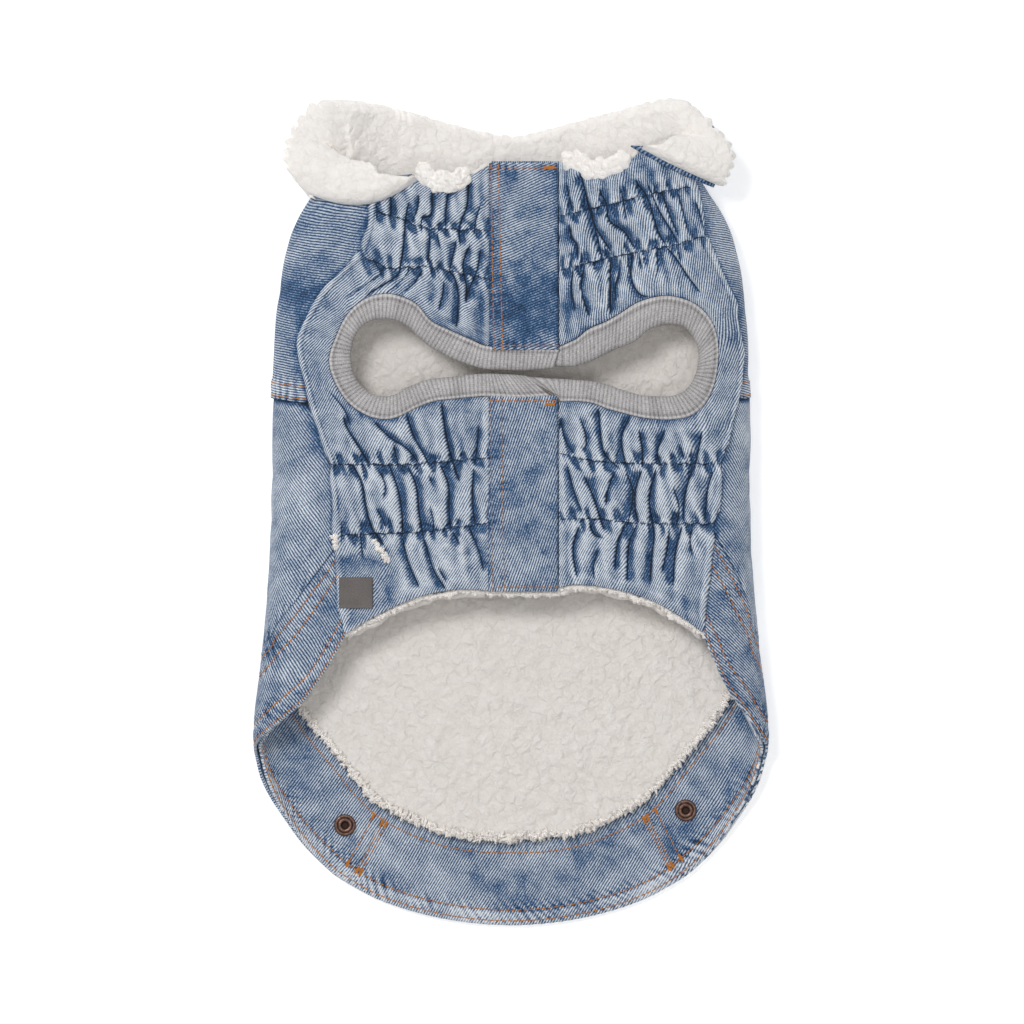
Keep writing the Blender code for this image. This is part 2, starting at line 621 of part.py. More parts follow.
class Front:
    """One front: its table, its side and its two corner rows."""

    def __init__(self, table, side, corners):
        self.table = np.asarray(table)
        self.side = side
        self.corners = corners
        self.gathers = np.concatenate([[0], np.cumsum(self.table[:-1, 6])])

    def columns(self, per_gather):
        """Row numbers of the grid's columns, so many to each gather, one of them in its valley."""
        rows = np.arange(len(self.table), dtype=float)
        phases = np.arange(0, self.gathers[-1] * per_gather) / per_gather
        at = np.interp(phases, self.gathers, rows)
        far = np.abs(rows[:, None] - at[None, :]).min(axis=1) > COLUMN_APART
        return np.sort(np.concatenate([at, rows[far]]))

    def outer_edge(self, at):
        """Neck edge, side seam and belly hem, with a corner where they meet."""
        first, last = self.corners
        outer = self.table[:, 4:6]
        neck = through(outer[: first + 1], at)
        side = through(outer[first : last + 1], at - first)
        belly = through(outer[last:], at - last)
        at = at[:, None]
        return np.where(at < first, neck, np.where(at < last, side, belly))

    def plan(self, at, v, armhole_gap, seam_gap, hang):
        """x, y of a grid between armhole seam and outer edge. hang lengthens the free edges."""
        found = through(self.table, at)
        seam, outer = found[:, 2:4].copy(), self.outer_edge(at)
        first, last = self.corners
        on_seam = (at >= first) & (at <= last)
        outer[on_seam, 0] = self.side * (seam_x(self.side, outer[on_seam, 1]) - seam_gap / 2)
        along = np.gradient(seam, axis=0)
        along /= np.linalg.norm(along, axis=1, keepdims=True)
        square = np.stack([along[:, 1], -along[:, 0]], axis=1) * -self.side
        seam += square * armhole_gap
        longer = np.where(at < first, hang[0], hang[1])
        outer[~on_seam, 1] += (longer * np.where(at < first, 1, -1))[~on_seam]
        grid = seam[:, None] * (1 - v[None, :, None]) + outer[:, None] * v[None, :, None]
        return grid[..., 0], grid[..., 1], np.maximum(found[:, 7], 0)

    def wave(self, at):
        """Gathers: full ridges at 1, with narrow valleys between them at minus the dip."""
        phase = np.interp(at, np.arange(len(self.gathers)), self.gathers)[:, None]
        ridge = np.abs(np.sin(math.pi * phase)) ** GATHER_FULLNESS
        return ridge * (1 + GATHER_DIP) - GATHER_DIP


def underlap(x):
    """How deep the cloth lies where it runs under the placket."""
    return UNDERLAP_DEPTH * np.clip((25.0 - x) / 3.0, 0, 1) * (x > UNDERLAP_LEFT - 1)


def make_front(name, front, parts):
    """A gathered denim front over its pile lining."""
    v = np.array(FRONT_ROWS)
    at = front.columns(3)
    x, y, height = front.plan(at, v, ARMHOLE_GAP, SEAM_GAP, (0.0, 0.0))
    lift = gather_sizes(x, y, v[None, :], height[:, None]) * front.wave(at)
    depth = -lift
    if front.side > 0:
        x, y, depth = with_underlap(x, y, depth + underlap(x))
    points = on_top(x, y, depth)
    below = on_top(x, y, depth + DENIM)
    grid_object("front_" + name, "washed denim", points, below, DENIM, parts)

    v = np.array(FRONT_LINING_ROWS)
    at = np.linspace(0, len(front.table) - 1, 2 * len(front.table) - 1)
    x, y, height = front.plan(at, v, ARMHOLE_GAP, LINING_SEAM_GAP, (0.6, 2.2))
    depth = DENIM + PLY_GAP + (GATHER_DIP + GATHER_CLEARANCE) * height[:, None] * np.ones_like(x)
    if front.side > 0:
        depth = np.maximum(depth, DENIM + PLY_GAP + underlap(x))
        x, y, depth = with_underlap(x, y, depth)
    points = on_top(x, y, depth)
    below = on_top(x, y, depth + PILE)
    grid_object("front_lining_" + name, "white pile", points, below, PILE, parts)


def with_underlap(x, y, depth):
    """Adds the columns of the right front that run on under the placket."""
    reach = x[0, 0] - UNDERLAP_LEFT
    under_x = UNDERLAP_LEFT + reach * np.array([0.0, 0.33, 0.66])
    under_x = np.repeat(under_x[:, None], x.shape[1], 1)
    grids = [np.concatenate([under_x, x, under_x[::-1]])]
    for grid in (y, depth):
        first = np.repeat(grid[:1], 3, 0)
        last = np.repeat(grid[-1:], 3, 0)
        grids.append(np.concatenate([first, grid, last]))
    return grids


def binding_path(front):
    """Free edge and seam of a binding, with its ends towards the middle."""
    rows = front.table[:, :4]
    if front.side < 0:
        return np.concatenate([LEFT_BINDING_CHEST_END, rows, LEFT_BINDING_BELLY_END])
    return np.concatenate([rows, RIGHT_BINDING_BELLY_END])


def even_places(path, count):
    """Row numbers at even distances along the middle of a two-edged path."""
    fine = np.linspace(0, len(path) - 1, 40 * len(path))
    found = through(path, fine)
    middle = (found[:, :2] + found[:, 2:4]) / 2
    run = np.concatenate([[0], np.cumsum(np.linalg.norm(np.diff(middle, axis=0), axis=1))])
    return np.interp(np.linspace(0, run[-1], count), run, fine)


def make_binding(name, front, parts):
    """A folded rib-knit strip round the armhole: a closed ring of five points swept along it."""
    path = binding_path(front)
    at = even_places(path, 2 * RIBS + 1)
    found = through(path, at)
    free, seam = found[:, :2], found[:, 2:4]
    rib = RIB_HEIGHT * (np.arange(len(at)) % 2)
    # Ring: share of the width from the seam, depth, and 1 where a rib raises it.
    ring = (
        (0.0, -0.6, 1),
        (0.45, -BINDING_BULGE, 1),
        (1.0, 0.9, 1),
        (0.9, BINDING_BOTTOM, 0),
        (0.0, BINDING_BOTTOM, 0),
    )
    rings = []
    for share, depth, ribbed in ring:
        place = seam + (free - seam) * share
        rings.append(on_top(place[:, 0], place[:, 1], depth - rib * ribbed))
    loft = np.stack(rings, axis=1) * MM
    mesh = bpy.data.meshes.new("binding_" + name)
    strip = bmesh.new()
    loops = [[strip.verts.new(point) for point in section_points] for section_points in loft]
    for one, other in zip(loops, loops[1:]):
        for i in range(len(ring)):
            j = (i + 1) % len(ring)
            strip.faces.new((one[i], one[j], other[j], other[i]))
    strip.faces.new(loops[0])
    strip.faces.new(loops[-1])
    bmesh.ops.recalc_face_normals(strip, faces=strip.faces[:])
    strip.to_mesh(mesh)
    strip.free()
    add_object("binding_" + name, mesh, "grey rib knit", parts)


def make_placket(name, rows, parts):
    """A length of the fastened placket, lying over the underlap."""
    rows = np.asarray(rows)
    down = through(rows, np.linspace(0, len(rows) - 1, 6))
    share = steps(7)
    x = down[None, :, 0] + (down[None, :, 1] - down[None, :, 0]) * share[:, None]
    y = np.repeat(down[None, :, 2], len(share), 0)
    points = on_top(x, y, -PLACKET_LIFT)
    below = on_top(x, y, PLACKET_THICKNESS - PLACKET_LIFT)
    grid_object(name, "washed denim", points, below, PLACKET_THICKNESS, parts)


def collar_seam(share):
    """Share and place of the collar's seam edge: along the back's neck edge, and over each front."""
    line = moved(across(NECK_EDGE, share, SEAM_GAP), SEAM_GAP)
    back = np.column_stack([share, wrapped(line[:, 0], line[:, 1], 0.0)])
    return np.concatenate([COLLAR_LEFT_FRONT, back, COLLAR_RIGHT_FRONT])


def collar_face(seam, v, lift):
    """The collar's underside, or a face lifted from it towards the pile side."""
    stations = by_column(COLLAR, seam[:, 0])
    middle, edge = stations[:, 0:3], stations[:, 3:6]
    seam = seam[:, 1:]
    v = v[None, :, None]
    control = 2 * middle - 0.5 * (seam + edge)
    points = seam[:, None] * (1 - v) ** 2 + control[:, None] * 2 * v * (1 - v) + edge[:, None] * v**2
    points[..., 2] = np.maximum(points[..., 2], 0.0)
    along = np.gradient(points, axis=0)
    out = np.gradient(points, axis=1)
    normal = np.cross(along, out)
    normal /= np.linalg.norm(normal, axis=2, keepdims=True)
    return points + normal * lift


def make_collar(parts):
    """The collar in two plies: denim below and pile on top, short of the denim's seam edge."""
    seam = collar_seam(back_columns())
    v = np.array(COLLAR_ROWS)
    under = collar_face(seam, v, 0.0)
    over = collar_face(seam, v, DENIM)
    pile = collar_face(seam, v, DENIM + COLLAR_PLY_GAP)[:, 1:]
    top = collar_face(seam, v, DENIM + COLLAR_PLY_GAP + COLLAR_PILE)[:, 1:]
    for name, material, face, far, thickness in (
        ("collar_under", "washed denim", under, over, DENIM),
        ("collar_top", "white pile", pile, top, COLLAR_PILE),
    ):
        made = grid_object(name, material, face, far, thickness, parts)
        made.modifiers["cloth thickness"].use_even_offset = False


def make_label(parts):
    """A blank woven tab on the left front, by the side seam."""
    x, y = np.meshgrid(np.linspace(*LABEL_X, 4), np.linspace(*LABEL_Y, 4), indexing="ij")
    lift = LABEL_GAP + LABEL_THICKNESS
    points = on_top(x, y, -lift)
    below = on_top(x, y, -LABEL_GAP)
    grid_object("label", "grey woven tab", points, below, LABEL_THICKNESS, parts)


def make_button(name, place, parts):
    """A turned tack button standing on the hem facing."""
    mesh = bpy.data.meshes.new(name)
    profile = bmesh.new()
    points = [profile.verts.new((radius * MM, 0.0, height * MM)) for radius, height in BUTTON_PROFILE]
    for one, other in zip(points, points[1:]):
        profile.edges.new((one, other))
    profile.to_mesh(mesh)
    profile.free()
    button = add_object(name, mesh, "aged copper", parts)
    screw = button.modifiers.new("turned", "SCREW")
    screw.steps = BUTTON_SIDES
    screw.render_steps = BUTTON_SIDES
    screw.use_merge_vertices = True
    screw.merge_threshold = 0.00001
    x, y = place
    button.location = (x * MM, y * MM, (FACING_DEPTH + DENIM + PLY_GAP) * MM)


for old in list(bpy.data.objects):
    bpy.data.objects.remove(old, do_unlink=True)

MADE_MATERIALS = make_materials()
JACKET = bpy.data.collections.new("denim dog jacket")
bpy.context.scene.collection.children.link(JACKET)

make_back(JACKET)
for front_name, front in (
    ("left", Front(LEFT_FRONT, -1, LEFT_CORNERS)),
    ("right", Front(RIGHT_FRONT, 1, RIGHT_CORNERS)),
):
    make_front(front_name, front, JACKET)
    make_binding(front_name, front, JACKET)
make_placket("placket_chest", PLACKET_CHEST, JACKET)
make_placket("placket_belly", PLACKET_BELLY, JACKET)
make_collar(JACKET)
make_label(JACKET)
for button_name, button_place in BUTTONS.items():
    make_button(button_name, button_place, JACKET)
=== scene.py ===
"""The denim dog jacket, dressed: cloth, pile, knit, sewing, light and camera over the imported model.

The jacket is a flattened tube. "Way" is the distance round its section from the middle of the back,
negative to the left, and "depth" is the distance inwards from the outer face. Lengths are millimetres.
"""

import math

import bpy
import mathutils
import numpy as np
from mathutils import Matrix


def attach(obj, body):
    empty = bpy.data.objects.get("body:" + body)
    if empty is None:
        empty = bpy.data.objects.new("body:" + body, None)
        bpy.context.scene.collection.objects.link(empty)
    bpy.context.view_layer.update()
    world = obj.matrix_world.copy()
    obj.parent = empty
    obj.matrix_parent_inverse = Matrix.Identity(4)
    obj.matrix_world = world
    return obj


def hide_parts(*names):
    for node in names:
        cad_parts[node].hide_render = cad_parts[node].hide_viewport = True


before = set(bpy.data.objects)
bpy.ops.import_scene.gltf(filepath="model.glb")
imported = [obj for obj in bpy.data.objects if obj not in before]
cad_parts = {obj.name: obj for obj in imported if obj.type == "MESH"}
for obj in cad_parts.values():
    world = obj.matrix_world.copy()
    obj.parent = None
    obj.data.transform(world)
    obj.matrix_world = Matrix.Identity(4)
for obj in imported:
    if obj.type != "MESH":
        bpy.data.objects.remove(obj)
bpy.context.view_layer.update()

MM = 0.001

DENIM = 1.2
PILE = 4.5
COLLAR_PILE = 5.0
PLY_GAP = 0.4
SEAM_GAP = 0.55
FACING_DEPTH = DENIM + 0.6
FACING_SEAM_GAP = 1.0
LINING_SEAM_GAP = 2.0
ARMHOLE_GAP = 0.6

# Body sections from neck to tail. Columns: y, half width, reach of the side fold, its half height.
BODY_SECTIONS = (
    (165, 68, 20, 13.2), (147, 82, 20, 13.8), (138, 87.6, 20, 14), (129, 93.2, 21, 14),
    (111.5, 99.2, 22, 14), (94, 102.2, 22, 14), (50, 104.6, 22, 14), (5, 105, 22, 14), (-21, 105.8, 22, 14),
    (-47, 107.8, 22, 13.8), (-64.5, 109.6, 21, 13.4), (-82, 112, 20, 12.8), (-99.7, 112.8, 19, 12.2),
    (-108.5, 112.3, 18, 11.5), (-126, 106.6, 18, 10), (-139, 99.5, 18, 9), (-152, 92.5, 18, 8),
    (-182, 78, 18, 7),
)

# Side seams on the top, from neck corner to belly corner. Columns: y, distance from the middle.
LEFT_SEAM = (
    (144, 60.5), (135, 60.8), (125, 62.2), (113, 66.5), (102, 77), (88, 87.2), (73.3, 92.8), (61, 90.4),
    (47.3, 87.1), (33.7, 83.2), (21.3, 79.4), (5.1, 77.6), (-9, 77), (-30, 76), (-53.5, 72.4),
)
RIGHT_SEAM = (
    (152, 76), (141, 80.4), (130, 83.2), (120, 85), (108, 90), (94, 96.6), (80, 99.4), (60, 100.6),
    (49, 98.6), (38.9, 96.4), (21.3, 92.2), (5, 90.4), (-7, 88.4), (-26, 86.6), (-53, 84),
)

# Back neck edge. Columns: share of the way to the seam, y. Negative shares are on the left.
NECK_EDGE = (
    (-1, 144), (-0.75, 144.5), (-0.45, 137), (0, 128), (0.45, 138), (0.75, 149), (1, 152),
)
# Yoke seam. Columns as above.
YOKE_SEAM = (
    (-1, 47.3), (-0.7, 51.5), (0, 53), (0.7, 51.5), (1, 49),
)

# Tail hem from the belly corners round to the middle of the back.
# Columns: hem edge x, y; band seam x, y; end of the pile lining x, y.
HEM_TOP_LEFT = (
    (72.4, -53.5, 77, -16, 77, -16), (80.1, -67.5, 86, -28, 86, -28), (89.3, -81, 95, -40, 95, -40),
    (99.4, -90.4, 102.5, -49, 102.5, -49), (108.5, -98, 106.5, -56, 106.5, -56),
)
HEM_TOP_RIGHT = (
    (84, -53, 88.2, -8, 88.2, -8), (88.9, -64.5, 94, -18, 94, -18), (95, -77.2, 99.5, -29, 99.5, -29),
    (103, -88.5, 104, -40, 104, -40), (109, -98, 106.6, -51, 106.6, -51),
)
HEM_FLOOR = (
    (112.3, -106.5, 105, -65, 105, -65), (109.3, -117.3, 98, -77.5, 98, -78),
    (105.2, -126.1, 89.5, -89, 90, -90), (99.6, -134.9, 81, -100, 81.5, -100.5),
    (93.4, -143.7, 73, -110, 74, -109.5), (85.6, -152.5, 65, -119, 66, -119.5),
    (75, -161.6, 56, -128, 56.5, -128.5), (60, -169.8, 44, -138, 44, -135.5),
    (41, -176.4, 29, -145.5, 29, -141), (21, -180.4, 14.5, -149.8, 14.5, -143.5),
    (0, -181.9, 0, -151, 0, -144),
)
FACING_JOIN_LEFT = 11.2
FACING_JOIN_RIGHT = 19.1

# Fronts, a C round each armhole from the placket at the chest to the placket at the belly.
# Columns: binding free edge x, y; armhole seam x, y; outer edge x, y; height of the gathers.
# The rows between the two corner rows end on the side seam.
LEFT_FRONT = (
    (-11.9, 62.5, -10.4, 72.4, -10.4, 151.1, 0.2), (-22.4, 65.6, -18, 75.5, -18, 147.2, 2.1),
    (-32.1, 70.2, -26.8, 79.4, -29, 145.9, 2.1), (-39.6, 75.5, -34.8, 83.4, -38.3, 146.3, 2.1),
    (-44.9, 80.7, -40.9, 90.4, -49, 144.8, 1.7), (-49.7, 83.4, -46.6, 93.5, -60.2, 144, 1.4),
    (-55, 84.3, -54.1, 95.3, -65.1, 115.1, 1.2), (-60.7, 83.6, -62.9, 93.5, -77.4, 101.9, 0.8),
    (-66, 80.3, -70.8, 87.3, -87.1, 87.8, 0.5), (-69.1, 74.1, -76.1, 77.7, -92.8, 73.3, 0.4),
    (-70, 66.7, -79.6, 66.2, -90.2, 61.4, 0.5), (-68.2, 58.7, -76.6, 55.7, -86.7, 45.5, 0.8),
    (-63.8, 53.5, -70.8, 47.3, -81.4, 27.9, 1.3), (-59, 50.8, -62.9, 42, -77.9, 5.1, 1.7),
    (-54.1, 50.4, -55.4, 40.3, -76.6, -21.3, 1.9), (-49.7, 51.7, -48.8, 41.6, -72.4, -53.5, 2),
    (-44.4, 54.8, -40.9, 45.5, -59.8, -46, 2.1), (-37, 57.6, -33.4, 48.2, -48, -40.3, 2.1),
    (-27.7, 58.7, -26, 49.1, -36.5, -36.3, 2.1), (-18.9, 59.8, -18, 49.9, -23.3, -34.1, 2),
    (-11, 60.3, -10.6, 50.4, -11.4, -34.5, 0.2),
)
LEFT_CORNERS = (5, 15)
RIGHT_FRONT = (
    (22, 63.6, 22, 72.6, 21.6, 153.3, 0), (28, 63.4, 28, 75.3, 27.3, 151, 2),
    (34.8, 65.8, 33.9, 79.9, 33.9, 147.4, 2.1), (40.5, 68.4, 40.9, 82.9, 41.8, 147.8, 2.1),
    (47.1, 71.5, 48, 86.9, 50.2, 152, 2), (54.1, 74.4, 54.1, 90.9, 57.5, 157.6, 1.8),
    (59.8, 79, 61.2, 93.5, 67, 156.6, 1.5), (66.9, 81.8, 68.2, 94.4, 75.7, 152, 1.2),
    (73.5, 81.6, 75.2, 93.1, 84, 122, 1), (77.9, 79, 81.8, 90, 90.2, 107.1, 0.8),
    (81, 73.7, 87.1, 84.3, 97.7, 93.1, 0.5), (82.1, 68.4, 90.2, 76.3, 100.3, 73.3, 0.4),
    (81.8, 64, 90.6, 66.2, 100.8, 58.7, 0.4), (80.1, 58.3, 88.9, 55.7, 98.1, 48.2, 0.6),
    (77, 53.9, 84.9, 47.3, 94.6, 31.5, 1.1), (73, 51.3, 78.8, 42, 91.1, 9.5, 1.6),
    (67.8, 50.4, 70.8, 40.3, 88, -14.7, 1.9), (62, 50.4, 63.4, 40.3, 84, -53, 2),
    (56.8, 51, 56.8, 41.1, 72.2, -44.7, 2.1), (50.6, 52.6, 49.7, 42.9, 61.2, -38.9, 2.1),
    (44, 54.8, 42.7, 44.7, 49.7, -35, 2.1), (37, 56.8, 35.6, 47.3, 38.3, -32.8, 2),
    (29.5, 57.6, 28.6, 48.2, 27.7, -31.9, 1.6), (22, 58.1, 22, 48.2, 21.6, -33.2, 0),
)
RIGHT_CORNERS = (7, 17)

# Ends of the bindings past the fronts, towards the middle. Columns: free edge x, y; seam x, y.
LEFT_BINDING_CHEST_END = ((18.3, 62.6, 21.1, 71.1), (4.0, 61.8, 4.8, 71.7))
LEFT_BINDING_BELLY_END = ((-2.6, 60.2, 4.8, 49.8), (6.6, 59.5, 17.0, 50.6))
RIGHT_BINDING_BELLY_END = ((15.4, 58.4, 21.4, 49.2), (9.4, 59.2, 19.8, 50.0))

# Corners of the placket lengths. Columns: left edge x, right edge x, y.
PLACKET_CHEST = ((-9.6, 20.4, 152.6), (-9.6, 20.6, 112.0), (-9.4, 20.8, 72.6))
PLACKET_BELLY = ((-9.6, 20.4, 48.9), (-10.0, 20.6, 8.0), (-10.2, 20.4, -35.0))
PLACKET_LIFT = 1.2
UNDERLAP_LEFT = -8.6
UNDERLAP_DEPTH = 0.9

# Shirring rows. Columns: x, y.
SHIRRING = (
    ((-58, 130.9), (-47, 127.8), (-37.4, 123.9), (-10, 123)),
    ((-64.7, 111.5), (-53.7, 106.3), (-37, 107.1), (-10, 101.9)),
    ((22, 129.4), (45.3, 134.9), (59, 138.4), (77, 141.9)),
    ((22, 105.8), (45.3, 111.5), (72.6, 116.8), (83.6, 120.3)), ((-78.8, 20.5), (-45, 20.5), (-10, 23.5)),
    ((-73.5, -10.3), (-40, -9), (-10, -5)), ((22, 25.3), (35.6, 22.2), (55.9, 20.9), (91.1, 20.9)),
    ((22, -3.3), (39.2, -3.3), (54.1, -5.1), (88, -5.5)),
)


# Collar stations round the neck, on its underside. Columns: share of the way along the back's neck
# edge, over 1 on the fronts; middle x, y, z; outer edge x, y, z.
COLLAR = (
    (-1.19, -64, 135.8, 30.4, -91, 141.6, 24.4), (-1.08, -76, 145, 28, -97.6, 152, 23),
    (-0.97, -83, 152.4, 25.6, -98.8, 159.5, 21.6), (-0.88, -86.5, 157.5, 23, -94.6, 170, 19.4),
    (-0.75, -84.5, 162.5, 19, -86, 178.4, 17), (-0.61, -76.5, 162, 10, -77, 181.6, 14.2),
    (-0.5, -64.5, 160.5, 4.6, -66, 181.2, 10.4), (-0.36, -48.5, 156.5, 1.6, -50.6, 177.6, 6.2),
    (-0.18, -24.5, 151, 0.2, -26, 171, 1.6), (0, 0, 147.5, 0, 0, 166, 0.2),
    (0.2, 24.5, 151, 0.2, 27, 171.6, 1.6), (0.43, 48.5, 156.5, 1.6, 50.6, 177.8, 6.2),
    (0.6, 64, 161, 4.6, 66, 181.4, 10.4), (0.73, 74.5, 164, 10, 75.5, 181.6, 14.2),
    (0.91, 82, 163, 18, 86, 173.6, 17.6), (1.06, 84, 159.5, 22, 94, 163.6, 19.6),
    (1.19, 81, 156.5, 24.6, 97.6, 155, 20.6), (1.32, 73.5, 149.8, 27.6, 91.6, 142.6, 21),
)
# Seam edge of the collar on the fronts. Columns: share as above; x, y, z.
COLLAR_LEFT_FRONT = (
    (-1.19, -38.5, 147.8, 28.6), (-1.08, -51, 146.5, 28.7), (-1.03, -57, 146, 28.5),
)
COLLAR_RIGHT_FRONT = (
    (1.06, 75, 155.4, 21.6), (1.19, 66, 159, 26.4), (1.32, 54, 159.6, 28),
)
COLLAR_PLY_GAP = 1.2

LABEL_X = (-75.2, -60.4)
LABEL_Y = (-42.4, -28.8)
LABEL_THICKNESS = 0.8
LABEL_MARGIN = 7.0
LABEL_GAP = 0.5

BUTTONS = {"tack_button_left": (-73.0, -137.9), "tack_button_right": (76.8, -131.4)}
# Main creases of the fronts, as read off the cloth. Columns: width, depth of the crease, its points.
CHEST_LEFT_VALLEYS = (
    (1.2, 0.6, -59.6, 135.4, -57.8, 131.3, -54.2, 129.1),
    (1.8, 0.95, -52.7, 138.6, -52.4, 132.2, -53.1, 128.3),
    (1.5, 1, -44.7, 135.4, -46.2, 127.7, -46.9, 116.8, -48.3, 108, -50.2, 102.9, -61.6, 95.7, -64.2, 92.2),
    (1.5, 0.9, -40.5, 138.8, -40.9, 132.7, -43.1, 127.4),
    (1.8, 0.95, -34.5, 140.8, -34.8, 129.9, -38.9, 128.4, -39.2, 121.2),
    (1.6, 1, -27.1, 142.3, -28.4, 132.2, -28.6, 123.4),
    (1.7, 0.95, -18.5, 145.2, -19.1, 134.3, -21.6, 127.4, -22.8, 122.6, -22, 115.1),
    (1.3, 0.7, -13.2, 134.9, -15.4, 127.4, -16.3, 121.2),
    (1.6, 0.95, -35.6, 121.2, -35.9, 113.8, -36.7, 107.1),
    (1.2, 0.6, -30.8, 126.5, -32.1, 121.2, -30.8, 114.2),
    (2, 1, -23.8, 119.5, -25.7, 110.9, -26.8, 105.1, -24.6, 102.2, -23.1, 93.4, -23.9, 80.3),
    (1.6, 0.9, -17.6, 117.3, -21, 108, -19.4, 97.9, -20.2, 91.7),
    (1.3, 0.7, -13.2, 115.1, -14.5, 107.1, -16.3, 101.9, -18.5, 96.6, -19.8, 90.9),
    (1.3, 0.7, -29.3, 101, -29.9, 94.8, -31.7, 87.8), (1.3, 0.6, -38.3, 106.3, -42.2, 100.1, -48, 94.8),
    (1.3, 0.6, -44, 109.8, -45.8, 103.6, -53.2, 96.6, -58.5, 93.1),
    (1, 0.5, -54.1, 109.8, -57.6, 103.6, -63.8, 99.2, -73, 93.1),
    (1.2, 0.7, -61.2, 112.4, -58.5, 107.1, -55, 105.4),
)
CHEST_RIGHT_VALLEYS = (
    (1.8, 1, 30.3, 148.6, 32.1, 141.5, 33.9, 134, 37, 123, 39.8, 110.7),
    (1.4, 0.9, 35, 133.5, 37, 124.7, 44.4, 112.9),
    (1.7, 0.95, 38, 141.5, 41.8, 134.5, 43.1, 127.1, 49.7, 122.5, 54.6, 114.2),
    (1.5, 0.9, 48.5, 138.8, 49.5, 133.8, 50.6, 126.5),
    (1.8, 1, 54.1, 145, 59.4, 137.9, 62.6, 128.4, 64.7, 121.7, 68.6, 115.5),
    (1.5, 0.95, 59.4, 144.1, 64.7, 131.8, 70, 123, 73.5, 116.8),
    (1.3, 0.8, 65.3, 141.5, 69.1, 130.9, 73.7, 119.5), (1.1, 0.6, 72.6, 140.6, 74.8, 132.7, 77.9, 121.2),
    (1.1, 0.6, 79.6, 137.1, 82.3, 130, 84, 122.1),
    (1.8, 0.95, 25.5, 126.1, 26.4, 120.3, 29, 115.9, 29, 108.9),
    (1.3, 0.7, 24.2, 144.1, 25.5, 137.1, 27.3, 130.5), (2, 1, 43.7, 110.7, 43.4, 98.8, 43.7, 86),
    (1.5, 0.9, 48, 111.5, 47.1, 102.8, 45.5, 98.3, 45.8, 92.2),
    (1.4, 0.8, 53.2, 113.7, 52.4, 102.7, 55.9, 95.4, 60.3, 93.9), (1.1, 0.7, 55.9, 114.2, 57.2, 105.4),
    (1.3, 0.8, 66.7, 116.8, 72.1, 110.9, 77.4, 102.8, 83.6, 94.7),
    (1.4, 0.8, 27.3, 107.1, 26.4, 97.5, 27.9, 87.8), (1.2, 0.6, 32.1, 107.1, 30.8, 97.5, 34.3, 85.1),
    (1.1, 0.5, 63.4, 114.2, 64.2, 108, 63.4, 101.9), (1.1, 0.6, 72.2, 117.7, 73.5, 112.4, 74.4, 108),
)
BELLY_LEFT_VALLEYS = (
    (1.5, 0.95, -73.3, 42.5, -72, 37.2, -67.4, 29.6, -61.5, 20),
    (1.4, 0.9, -60.3, 39.7, -53.5, 33, -45.1, 27.1, -39.6, 20),
    (1.4, 0.95, -45.9, 43.1, -42.5, 33, -38.3, 25.3, -34.9, 18.3),
    (1.5, 1, -30.4, 47.7, -28.2, 33, -25.7, 22.8, -22.3, 13),
    (1.6, 0.8, -14.1, 38.1, -14.5, 31.5, -15.8, 20), (1.2, 0.8, -51.4, 29.7, -49.3, 20),
    (1.7, 1, -69.5, 20.9, -65.3, 12.7, -63.6, 2.6, -61.1, -6.7, -55.2, -15.2),
    (2.4, 1, -53.5, 20.9, -49.3, 9.3, -47.6, -1.5, -47.6, -11.7),
    (1.7, 1, -45.8, 20.9, -41.4, 11.2, -40.3, 0.2, -38.1, -12.5),
    (2.2, 0.95, -31.6, 21.8, -27.4, 11.9, -27.1, 0.9, -26.4, -9), (1.2, 0.7, -25.7, 20.9, -22.3, 12.1),
    (1.5, 0.95, -16.1, 19.1, -16.8, 7.7, -16, -5.9),
    (1.4, 0.9, -66.1, -8.1, -64.5, -21, -61.9, -30.3, -60.3, -39.6),
    (1.6, 0.7, -56.8, -15.2, -53.5, -26, -52.7, -31.9), (1.4, 0.9, -47.6, -10.8, -45.1, -21.8, -40, -33.7),
    (1.4, 0.9, -38.3, -10.8, -34.1, -25.2, -28.2, -34.5), (1.2, 0.7, -25.7, -8.4, -22, -15.2),
    (1.8, 1, -18.5, -6.4, -13.9, -17.6, -11.9, -26.6), (1.1, 0.6, -32.1, -24, -27.7, -31.9),
    (1.2, 0.6, -57.6, 18.3, -55, 11.2, -55.9, 5.1), (1.2, 0.6, -36.5, 16.5, -33.9, 11.2),
    (1.3, 0.7, -59, 1.5, -55.9, -3.7, -54.1, -9), (1.2, 0.6, -35.6, 2.9, -33.9, -4.6, -34.3, -9.9),
    (1.1, 0.5, -79.6, 52.6, -73, 44.7, -70, 36.7),
)
